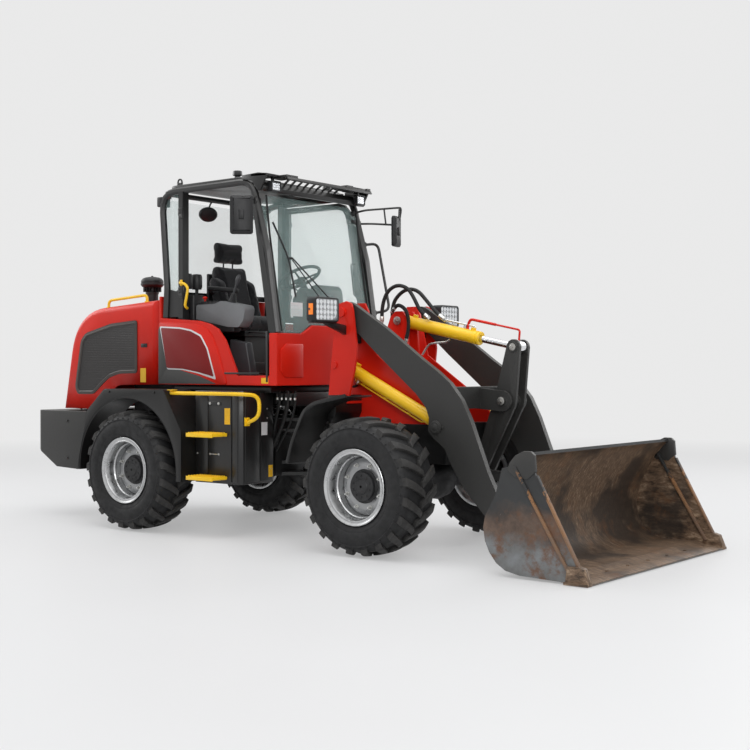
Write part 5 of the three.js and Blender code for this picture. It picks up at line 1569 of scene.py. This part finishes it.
def make_dash():
    bm = bmesh.new()
    side = [
        (-0.080, 1.303), (0.090, 1.303), (0.085, 2.060), (0.050, 2.140), (-0.020, 2.160), (-0.100, 2.060)
    ]
    slab(bm, [tuple(p) for p in rounded(side, 0.018, 3)], "y", -0.168, 0.168, 0.012, 3)
    side = [(-0.030, 2.030), (0.075, 2.030), (0.060, 2.150), (0.020, 2.195), (-0.055, 2.180)]
    slab(bm, [tuple(p) for p in rounded(side, 0.015, 3)], "y", 0.020, 0.330, 0.014, 3)
    box(bm, (0.055, 0.120), (-0.600, 0.600), (1.735, 1.775), 0.01)
    for i in range(9):
        y = -0.54 + i * 0.135
        box(bm, (0.088, 0.096), (y, y + 0.060), (1.320, 1.720), 0.004)
    rod(bm, at(-0.050, 0, 2.060), at(-0.160, 0, 2.255), 0.036, 20, 0.026)
    finished("dash_column", bm, "rear_chassis", BLACK_PLASTIC, "cab_plastic", 35, ["dashboard"])
    wheel = bmesh.new()
    axis = Vector((-math.sin(math.radians(28)), 0, math.cos(math.radians(28))))
    hub = at(-0.165, 0, 2.265)
    ring = [
        (0.190 + 0.0145 * math.cos(math.tau * i / 14), 0.0145 * math.sin(math.tau * i / 14))
        for i in range(15)
    ]
    turned(wheel, ring, hub, axis, 56)
    closed_out(wheel)
    across = axis.cross(Vector((0, 1, 0)))
    for turn in (90, 210, 330):
        way = Vector((0, 1, 0)) * math.cos(math.radians(turn)) + across * math.sin(math.radians(turn))
        rod(wheel, hub - axis * 0.030, hub + way * 0.182, 0.0105, 10, 0.0085)
    turned(
        wheel, [(0, -0.050), (0.040, -0.050), (0.046, -0.035), (0.042, -0.018), (0, -0.012)], hub,
        axis, 28
    )
    knob_foot = hub + Vector((0, 1, 0)) * 0.12 + across * 0.147
    rod(wheel, knob_foot, knob_foot + axis * 0.030, 0.008, 10)
    turned(
        wheel, [(0, 0.028), (0.016, 0.030), (0.022, 0.045), (0.018, 0.062), (0, 0.068)], knob_foot,
        axis, 20
    )
    rod(wheel, at(-0.075, -0.02, 2.105), at(-0.100, -0.190, 2.170), 0.006, 10)
    rod(wheel, at(-0.097, -0.170, 2.162), at(-0.102, -0.210, 2.178), 0.011, 12, bevel=0.003)
    finished("steering_wheel", wheel, "rear_chassis", SOFT_GRIP, "cab_plastic", 40)
    tag = bmesh.new()
    box(tag, (0.128, 0.131), (-0.447, -0.293), (1.895, 2.015), 0.0006, 1)
    finished("blank_paper_tag", tag, "rear_chassis", WHITE_LABEL, "cab_plastic", 35)
    pedals = bmesh.new()
    for y in (-0.28, 0.24, 0.36):
        turn = Matrix.Translation(at(-0.16, y, 1.40)) @ Matrix.Rotation(math.radians(-38), 4, "Y")
        block(pedals, (-0.055, -0.035, -0.006), (0.055, 0.035, 0.006), 0.004, 2, turn)
        rod(pedals, at(-0.15, y, 1.395), at(-0.06, y, 1.31), 0.009, 10)
    box(pedals, (-0.90, 0.08), (-0.62, 0.62), (1.3015, 1.3095), 0.002)
    finished("floor_mat", pedals, "rear_chassis", SOFT_GRIP, "cab_plastic", 35)


COVER_CELL = 0.006
PADDING_PRESSURE = 4.0
PADDING_FRAMES = 20
PADDING_SWELL = 0.012


def cushion(name, outline, low, high, replaces=()):
    """A stuffed seat part: the foam block of its outline, swollen like a filled cover."""
    bm = bmesh.new()
    slab(bm, [tuple(p) for p in rounded(outline, 0.035, 5)], "y", low, high, 0.028, 4)
    piece = finished(name, bm, "rear_chassis", SEAT_CLOTH, "upholstery", 180, replaces)
    remesh = piece.modifiers.new("cover_weave", "REMESH")
    remesh.mode = "VOXEL"
    remesh.voxel_size = COVER_CELL
    apply_modifiers(piece)
    before = [v.co.copy() for v in piece.data.vertices]
    cloth = piece.modifiers.new("filling", "CLOTH")
    cloth.settings.use_pressure = True
    cloth.settings.uniform_pressure_force = PADDING_PRESSURE
    cloth.settings.effector_weights.gravity = 0.0
    cloth.settings.quality = 5
    cloth.settings.tension_stiffness = 18
    cloth.settings.compression_stiffness = 18
    cloth.settings.bending_stiffness = 0.6
    cloth.point_cache.frame_start = 1
    cloth.point_cache.frame_end = PADDING_FRAMES
    scene = bpy.context.scene
    for frame_number in range(1, PADDING_FRAMES + 1):
        scene.frame_set(frame_number)
    apply_modifiers(piece)
    scene.frame_set(1)
    for v, start in zip(piece.data.vertices, before):
        moved = v.co - start
        if moved.length > PADDING_SWELL:
            v.co = start + moved.normalized() * PADDING_SWELL
    rounder = piece.modifiers.new("smooth_cover", "SUBSURF")
    rounder.levels = rounder.render_levels = 1
    apply_modifiers(piece)
    return piece


def apply_modifiers(piece):
    graph = bpy.context.evaluated_depsgraph_get()
    mesh = bpy.data.meshes.new_from_object(piece.evaluated_get(graph), depsgraph=graph)
    old = piece.data
    piece.modifiers.clear()
    piece.data = mesh
    bpy.data.meshes.remove(old)
    mesh.shade_smooth()


def make_seat():
    base = [
        (-1.060, 1.795), (-0.640, 1.795), (-0.612, 1.835), (-0.622, 1.895), (-0.700, 1.925),
        (-1.060, 1.905)
    ]
    cushion("seat_pad", base, -0.150, 0.150, ["seat_cushion"])
    for side, label in SIDES:
        low, high = sorted((side * 0.150, side * 0.238))
        cushion(f"seat_bolster_{label}", [(x, z + (0.016 if z > 1.85 else 0)) for x, z in base], low, high)
        back = [
            (-0.990, 1.900), (-0.850, 1.915), (-0.880, 2.080), (-0.945, 2.250), (-1.050, 2.300),
            (-1.090, 2.250)
        ]
        cushion(f"back_bolster_{label}", back, low, high)
    back = [
        (-0.990, 1.905), (-0.880, 1.910), (-0.915, 2.080), (-0.985, 2.330), (-1.015, 2.402),
        (-1.095, 2.402), (-1.115, 2.330)
    ]
    cushion("back_pad", back, -0.185, 0.185, ["seat_backrest"])
    head = [
        (-1.115, 2.432), (-1.015, 2.432), (-1.018, 2.590), (-1.045, 2.624), (-1.095, 2.624),
        (-1.114, 2.590)
    ]
    cushion("head_pad", head, -0.155, 0.155)
    posts = bmesh.new()
    for y in (-0.06, 0.06):
        rod(posts, at(-1.070, y, 2.370), at(-1.066, y, 2.450), 0.0075, 12)
    box(posts, (-1.145, -1.118), (-0.21, 0.21), (1.93, 2.33), 0.012, 3)
    for y in (-0.27, 0.245):
        box(posts, (-0.98, -0.70), (y, y + 0.025), (1.800, 1.850), 0.008)
    pipe(
        posts,
        [
            at(-0.640, -0.16, 1.775), at(-0.585, -0.15, 1.775), at(-0.585, 0.15, 1.775),
            at(-0.640, 0.16, 1.775)
        ],
        0.007, 0.03, 10
    )
    finished("seat_frame", posts, "rear_chassis", BLACK_PLASTIC, "black_paint", 35)
    belt = bmesh.new()
    pipe(belt, [at(-1.00, -0.262, 1.84), at(-0.97, -0.262, 1.90), at(-0.95, -0.250, 1.965)], 0.007, 0.03, 8)
    box(belt, (-0.975, -0.930), (-0.262, -0.240), (1.950, 2.010), 0.005)
    finished("belt_buckle", belt, "rear_chassis", RED, "red_paint", 35)


# ---- Cylinders, hoses and pipes ----
LIFT_BASE = (0.720, 1.475)
LIFT_EYE = (1.720, 0.990)
LIFT_Y = 0.425
TILT_BASE = (1.015, 1.845)
CRANK_TOP = (2.135, 1.614)


def cylinder_line(base, eye, y):
    foot, head = at(base[0], y, base[1]), at(eye[0], y, eye[1])
    return foot, (head - foot).normalized()


def barrel(bm, foot, along, radius, start, end, inside, eye):
    """A tube with its base eye, welded cap, end ring, and a threaded gland bored for the rod."""
    profile = [
        (0, start), (radius * 0.86, start), (radius * 0.95, start + 0.006),
        (radius * 0.97, start + 0.030)
    ]
    profile += [(radius * 0.93, start + 0.034), (radius * 0.95, start + 0.040), (radius * 0.95, end - 0.075)]
    profile += [
        (radius, end - 0.072), (radius, end - 0.032), (radius * 0.93, end - 0.030),
        (radius * 0.93, end - 0.026)
    ]
    profile += [(radius, end - 0.024), (radius, end - 0.004), (radius * 0.94, end)] + inside
    turned(bm, profile, foot, along, 40)
    closed_out(bm)
    across = Vector((0, eye, 0))
    rod(bm, foot - across, foot + across, radius, 40, bevel=0.003)


def facing(along):
    """The turn that lays a block's length along a line."""
    return along.to_track_quat("X", "Z").to_matrix().to_4x4()


def port(bm, place, out, along, size=0.014):
    """A square port block, facing out."""
    out, along = Vector(out).normalized(), Vector(along).normalized()
    turn = Matrix((along, out.cross(along), out)).transposed().to_4x4()
    block(
        bm, (-size * 1.3, -size, -size), (size * 1.3, size, size), 0.003, 2,
        Matrix.Translation(place) @ turn
    )


def make_cylinders():
    for side, label in SIDES:
        foot, along = cylinder_line(LIFT_BASE, LIFT_EYE, side * LIFT_Y)
        body = nodes[f"lift_cylinder_barrel_{label}"]["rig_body"]
        bm = bmesh.new()
        barrel(bm, foot, along, 0.054, 0.030, 1.016, [(0.030, 1.016), (0.030, 0.371), (0, 0.371)], 0.043)
        slope = Vector((along.z, 0, -along.x))
        for share in (0.10, 0.955):
            port(bm, foot + along * share - slope * 0.052, -slope, along)
        barrel_node = f"lift_cylinder_barrel_{label}"
        finished(f"lift_barrel_{label}", bm, body, YELLOW, "yellow_paint", 35, [barrel_node])
        line = bmesh.new()
        under = slope * 0.068
        start, end = foot + along * 0.10, foot + along * 0.93
        pipe(line, [start - slope * 0.066, start - slope * 0.066 + along * 0.05], 0.010, 0.01, 10)
        pipe(
            line,
            [
                foot + along * 0.14 + slope * 0.045, foot + along * 0.16 + under,
                end - along * 0.03 + under, end + slope * 0.045
            ],
            0.0065, 0.03, 10
        )
        for share in (0.24, 0.50, 0.76):
            block(
                line, (-0.012, -0.012, -0.008), (0.012, 0.012, 0.008), 0.002, 1,
                Matrix.Translation(foot + along * share + slope * 0.062) @ facing(along)
            )
        finished(f"lift_pipe_{label}", line, body, YELLOW, "yellow_paint", 35)
    foot, along = cylinder_line(TILT_BASE, CRANK_TOP, 0)
    body = nodes["tilt_cylinder_barrel"]["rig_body"]
    bm = bmesh.new()
    hollow = [(0.030, 0.786), (0.030, 0.745), (0.042, 0.745), (0.042, 0.175), (0, 0.175)]
    barrel(bm, foot, along, 0.056, 0.030, 0.786, hollow, 0.043)
    slope = Vector((along.z, 0, -along.x))
    for share in (0.11, 0.70):
        port(bm, foot + along * share - slope * 0.060, -slope, along)
    finished("tilt_barrel_tube", bm, body, YELLOW, "yellow_paint", 35, ["tilt_cylinder_barrel"])
    line = bmesh.new()
    up = -slope
    pipe(
        line,
        [
            foot + along * 0.705 + up * 0.070, foot + along * 0.705 + up * 0.086,
            foot + along * 0.42 + up * 0.086
        ] + [foot + along * 0.40 + up * 0.072],
        0.0085, 0.02, 10
    )
    for share in (0.50, 0.62):
        spot = Matrix.Translation(foot + along * share + up * 0.074)
        block(line, (-0.012, -0.016, -0.018), (0.012, 0.016, 0.018), 0.003, 1, spot @ facing(along))
    finished("tilt_pipe", line, body, ZINC, "silver_paint", 35)
    guard = bmesh.new()
    body = nodes["tilt_cylinder_rod"]["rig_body"]
    pipe(guard, [at(1.905, 0.0, 1.7997), at(2.150, 0.0, 1.7492), at(2.142, 0.0, 1.668)], 0.0085, 0.02, 10)
    finished("tilt_indicator_end", guard, body, RED, "red_paint", 35)
    guide = bmesh.new()
    body = nodes["tilt_cylinder_barrel"]["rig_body"]
    pipe(
        guide,
        [at(1.652, 0.0, 1.755), at(1.668, 0.0, 1.822), at(1.690, 0.0, 1.844), at(1.925, 0.0, 1.7956)],
        0.0115, 0.02, 12
    )
    finished("tilt_indicator_tube", guide, body, RED, "red_paint", 35)


def hose(name, points, a, b, radius=0.016, finish=None, sleeve=False):
    """A fixed hose between two bodies, with crimped fittings at both ends."""
    bm = bmesh.new()
    spots = [at(*p) for p in points]
    pipe(bm, spots, radius, 0.09, 14, 7)
    if sleeve:
        path = [tuple(p) for p in spots]
        smooth = rounded(path, 0.09, 14, closed=False)
        for one, two in zip(smooth, smooth[1:]):
            if (two - one).length > 0.003:
                rod(bm, one, one.lerp(two, 0.55), radius * 1.25, 10)
    piece = finished(name, bm, None if b != a else a, finish or HOSE, "tyre", 50)
    if b != a:
        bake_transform(piece)
    for end, place, inner, body in (("start", spots[0], spots[1], a), ("end", spots[-1], spots[-2], b)):
        way = (inner - place).normalized()
        bm = bmesh.new()
        rod(bm, place - way * 0.020, place - way * 0.004, radius * 1.15, 6, bevel=0.001)
        rod(bm, place - way * 0.006, place + way * 0.038, radius * 1.18, 18, bevel=0.002)
        rod(bm, place + way * 0.010, place + way * 0.014, radius * 1.24, 18)
        finished(f"{name}_fitting_{end}", bm, body, ZINC, "silver_paint", 35)


def make_hoses():
    tilt = nodes["tilt_cylinder_barrel"]["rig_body"]
    chassis = "front_chassis"
    points = [
        (0.827, 1.850), (0.833, 1.985), (0.885, 2.098), (0.988, 2.150), (1.100, 2.120),
        (1.165, 2.034), (1.228, 1.921)
    ]
    hose("tilt_hose_inner", [(x, -0.070, z) for x, z in points] + [(1.285, -0.040, 1.868)], chassis, tilt)
    points = [
        (0.876, 1.839), (0.883, 2.000), (0.960, 2.082), (1.049, 2.118), (1.150, 2.098),
        (1.238, 2.010), (1.324, 1.919)
    ]
    hose("tilt_hose_outer", [(x, 0.010, z) for x, z in points] + [(1.405, 0.0, 1.862)], chassis, tilt)
    points = [(0.975, 1.926), (1.026, 1.982), (1.102, 1.950), (1.140, 1.881), (1.146, 1.781), (1.114, 1.670)]
    hose("sleeved_hose", [(x, -0.115, z) for x, z in points], chassis, chassis, 0.013, None, True)
    pipes = bmesh.new()
    points = [(1.255, 1.559), (1.292, 1.609), (1.329, 1.648), (1.402, 1.657), (1.499, 1.661), (1.529, 1.680)]
    pipe(pipes, [at(x, -0.075, z) for x, z in points], 0.0085, 0.03, 12)
    finished("tilt_feed_pipe", pipes, tilt, ZINC, "silver_paint", 40)
    for side, label in SIDES:
        lift = nodes[f"lift_cylinder_barrel_{label}"]["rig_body"]
        y = side * LIFT_Y
        inner = side * 0.345
        hose(
            f"lift_hose_{label}",
            [(0.600, inner, 1.420), (0.660, inner, 1.300), (0.780, side * 0.36, 1.290), (0.860, y, 1.340)],
            chassis,
            lift,
            0.013,
        )
    loop = bmesh.new()
    for i, y in enumerate((-0.20, -0.14, 0.14, 0.20)):
        pipe(
            loop,
            [
                at(-0.30, y, 0.98), at(-0.10, y * 1.4, 0.86 - 0.03 * i), at(0.15, y * 1.2, 0.86),
                at(0.36, y, 0.97)
            ],
            0.014, 0.15, 10
        )
    piece = finished("joint_hoses", loop, None, HOSE, "tyre", 50)
    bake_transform(piece)


# ---- Bucket ----
BUCKET_HALF = (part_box("bucket")[1].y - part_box("bucket")[0].y) / 2


def make_bucket():
    """The bucket's shell with its inner and outer wear, and the plates and bolts welded onto it."""
    bm = node_copy("bucket")
    inside = at(2.83, 0, 0.45)
    for face in bm.faces:
        centre = face.calc_center_median()
        faces_in = (Vector((inside.x, 0, inside.z)) - centre).dot(face.normal) > 0
        between = abs(centre.y) < BUCKET_HALF - 0.004 and centre.x > at(2.52, 0, 0).x
        face.material_index = 1 if faces_in and between else 0
    piece = finished("bucket_shell", bm, "bucket", [RUBBED, SCOURED], "worn_steel", 30, ["bucket"])
    round_over(piece, 0.0025, 2)
    half = BUCKET_HALF
    edge = bmesh.new()
    blade = [(3.150, 0.0115), (3.372, 0.0115), (3.376, 0.020), (3.325, 0.034), (3.150, 0.040)]
    slab(edge, blade, "y", -half + 0.004, half - 0.004, 0.0015, 1)
    finished("cutting_edge", edge, "bucket", SCOURED, "worn_steel", 30)
    seams = bmesh.new()
    slab(
        seams, [(3.138, 0.030), (3.152, 0.030), (3.152, 0.043), (3.146, 0.043)], "y", -half + 0.03,
        half - 0.03
    )
    bolts = bmesh.new()
    for i in range(7):
        y = -half + 0.155 + i * (2 * half - 0.31) / 6
        for dx in (0.0, 0.052):
            rod(bolts, at(3.196 + dx, y, 0.034), at(3.196 + dx, y, 0.0415), 0.0125, 16, bevel=0.0015)
            block(
                bolts, (-0.010, -0.0018, 0), (0.010, 0.0018, 0.0020),
                turn=Matrix.Translation(at(3.196 + dx, y, 0.0412))
            )
    finished("edge_bolts", bolts, "bucket", SCOURED, "worn_steel", 30)
    finished("edge_weld", seams, "bucket", SCOURED, "worn_steel", 30)
    strips = bmesh.new()
    wear = bmesh.new()
    ears = bmesh.new()
    for side in (-1, 1):
        out = side * half
        bar = [(2.786, 0.765), (2.806, 0.775), (3.226, 0.095), (3.206, 0.083)]
        slab(strips, bar, "y", *sorted((out - side * 0.002, out + side * 0.014)), 0.003, 2)
        rim = [(2.955, 0.716), (2.968, 0.720), (3.318, 0.080), (3.302, 0.076)]
        slab(strips, rim, "y", *sorted((out - side * 0.028, out + side * 0.006)), 0.003, 2)
        inner = [(2.800, 0.745), (2.820, 0.755), (3.240, 0.075), (3.220, 0.065)]
        slab(strips, inner, "y", *sorted((out - side * 0.045, out - side * 0.020)), 0.003, 2)
        ear = [
            (2.735, 0.745), (2.752, 0.796), (2.800, 0.850), (2.862, 0.880), (2.920, 0.880),
            (2.948, 0.856)
        ]
        ear += [(2.958, 0.742), (2.900, 0.690), (2.790, 0.700)]
        slab(ears, ear, "y", *sorted((out - side * 0.024, out + side * 0.007)), 0.003, 2)
        corner = [
            (3.196, 0.0112), (3.372, 0.0112), (3.374, 0.030), (3.338, 0.118), (3.300, 0.130),
            (3.210, 0.128)
        ]
        slab(wear, corner, "y", *sorted((out - side * 0.034, out + side * 0.024)), 0.006, 2)
        slab(
            wear, [(3.190, 0.004), (3.376, 0.004), (3.376, 0.024), (3.190, 0.024)], "y",
            *sorted((out - side * 0.034, out + side * 0.036)), 0.004, 2
        )
    finished("side_cutters", strips, "bucket", RUSTY, "worn_steel", 30)
    finished("corner_blocks", wear, "bucket", SCOURED, "worn_steel", 30)
    finished("spill_guard_ears", ears, "bucket", GREY, "worn_steel", 30)
    skids = bmesh.new()
    for y in (-0.85, -0.45, 0.0, 0.45, 0.85):
        slab(
            skids, [(2.760, 0.030), (3.120, 0.0135), (3.120, 0.003), (2.770, 0.003)], "y", y - 0.05,
            y + 0.05, 0.002, 1
        )
    finished("skid_strips", skids, "bucket", RUBBED, "worn_steel", 30)


def make_under_cab():
    bm = bmesh.new()
    box(bm, (-1.18, 0.02), (-0.58, 0.58), (1.236, 1.292), 0.008)
    box(bm, (-0.55, 0.16), (-0.42, 0.42), (1.120, 1.240), 0.01)
    for x in (-0.40, -0.22, -0.05):
        rod(bm, at(x, -0.45, 1.17), at(x, 0.45, 1.17), 0.030, 14, bevel=0.004)
    finished("cab_floor_pan", bm, "rear_chassis", BLACK, "black_paint", 35)
    lines = bmesh.new()
    for i in range(7):
        y = -0.40 - 0.028 * (i % 3)
        x = -0.05 + 0.032 * i
        points = [
            at(x, y, 1.25), at(x + 0.02, y - 0.02, 1.15), at(x - 0.05, y, 0.98),
            at(-0.12, y + 0.04, 0.84 - 0.02 * i)
        ]
        pipe(lines, points, 0.010 + 0.003 * (i % 2), 0.08, 10)
    for i in range(5):
        rod(
            lines, at(0.00 + i * 0.05, -0.47, 1.195), at(0.00 + i * 0.05, -0.47, 1.232), 0.016, 6,
            bevel=0.002
        )
    finished("valve_hoses", lines, "rear_chassis", HOSE, "tyre", 40)
    fittings = bmesh.new()
    for i in range(5):
        rod(
            fittings, at(0.00 + i * 0.05, -0.47, 1.175), at(0.00 + i * 0.05, -0.47, 1.196), 0.012,
            6, bevel=0.001
        )
    finished("valve_fittings", fittings, "rear_chassis", ZINC, "silver_paint", 35)
    sill = bmesh.new()
    for side in (-1, 1):
        y = side * CAB_HALF
        box(sill, (-0.480, 0.000), sorted((y - side * 0.075, y + side * 0.004)), (1.396, 1.412), 0.003)
        box(sill, (0.078, 0.100), sorted((y - side * 0.020, y + side * 0.005)), (1.330, 1.760), 0.004)
    finished("sill_trim", sill, "rear_chassis", BLACK, "black_paint", 35)
    cowl = bmesh.new()
    for side in (-1, 1):
        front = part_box("cab_body")[1].x - MID_X
        shape = [
            (0.370, 1.370), (0.590, 1.370), (0.655, 1.425), (0.655, 1.600), (0.590, 1.655),
            (0.370, 1.655)
        ]
        slab(cowl, [(side * u, v) for u, v in shape], "x", front - 0.004, front + 0.009, 0.006, 2)
    finished("cowl_panels", cowl, "rear_chassis", RED, "red_paint", 35)


def make_arm_details():
    body = nodes["lift_arm"]["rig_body"]
    bm = bmesh.new()
    for side in (-1, 1):
        out = side * 0.5305
        rod(bm, at(0.800, side * 0.525, 1.905), at(0.800, side * 0.548, 1.905), 0.062, 36, bevel=0.003)
        rod(bm, at(1.720, side * 0.525, 0.990), at(1.720, side * 0.546, 0.990), 0.052, 32, bevel=0.003)
        rod(bm, at(1.720, side * 0.546, 0.990), at(1.720, side * 0.556, 0.990), 0.030, 6, bevel=0.002)
        bolt(bm, at(1.782, out, 0.990), (0, side, 0), 0.010)
    finished("arm_bosses", bm, body, GREY, "grey_paint", 30)
    pins = bmesh.new()
    for side in (-1, 1):
        rod(pins, at(0.800, side * 0.546, 1.905), at(0.800, side * 0.560, 1.905), 0.034, 28, bevel=0.004)
        rod(pins, at(0.800, side * 0.556, 1.905), at(0.800, side * 0.567, 1.905), 0.007, 8)
    finished("arm_pivot_pins", pins, body, PIN_STEEL, "silver_paint", 30)
    crank = bmesh.new()
    for side in (-1, 1):
        for x, z, y, r in ((2.135, 1.614, 0.078, 0.030), (2.060, 1.190, 0.129, 0.033)):
            rod(crank, at(x, side * y, z), at(x, side * (y + 0.016), z), r, 28, bevel=0.004)
            rod(crank, at(x, side * (y + 0.014), z), at(x, side * (y + 0.026), z), r * 0.3, 8)
    finished("crank_pins", crank, "bell_crank", PIN_STEEL, "silver_paint", 30)
    base = bmesh.new()
    for side in (-1, 1):
        y = side * 0.094
        rod(
            base, at(TILT_BASE[0], y, TILT_BASE[1]),
            at(TILT_BASE[0], y + side * 0.016, TILT_BASE[1]), 0.036, 28, bevel=0.004
        )
        rod(
            base, at(TILT_BASE[0], y, TILT_BASE[1]),
            at(TILT_BASE[0], y + side * 0.026, TILT_BASE[1]), 0.012, 6
        )
        rod(
            base, at(LIFT_BASE[0], side * 0.530, LIFT_BASE[1]),
            at(LIFT_BASE[0], side * 0.536, LIFT_BASE[1]), 0.026, 24
        )
    finished("tower_pins", base, "front_chassis", PIN_STEEL, "silver_paint", 30)


# ---- Carried-over frame nodes ----
ROUNDING = {"cab_body": 0.006, "lift_arm": 0.003, "bell_crank": 0.003, "bucket_link": 0.003}


def finish_nodes():
    stood_for = {n for piece in bpy.data.objects for n in piece.get("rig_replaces", [])}
    for node in sorted(nodes):
        if node not in stood_for:
            refine(node, ROUNDING.get(node, 0.002))


make_camera()
make_light()
make_floor()
make_wheels()
make_hood()
make_hood_details()
make_hood_rails()
make_precleaner()
make_quarter_panels()
make_side_works()
make_front_fenders()
make_counterweight()
make_roof()
make_lamps()
make_mirrors()
make_cab_fittings()
make_console()
make_dash()
make_seat()
make_cylinders()
make_hoses()
make_bucket()
make_arm_details()
make_under_cab()
finish_nodes()
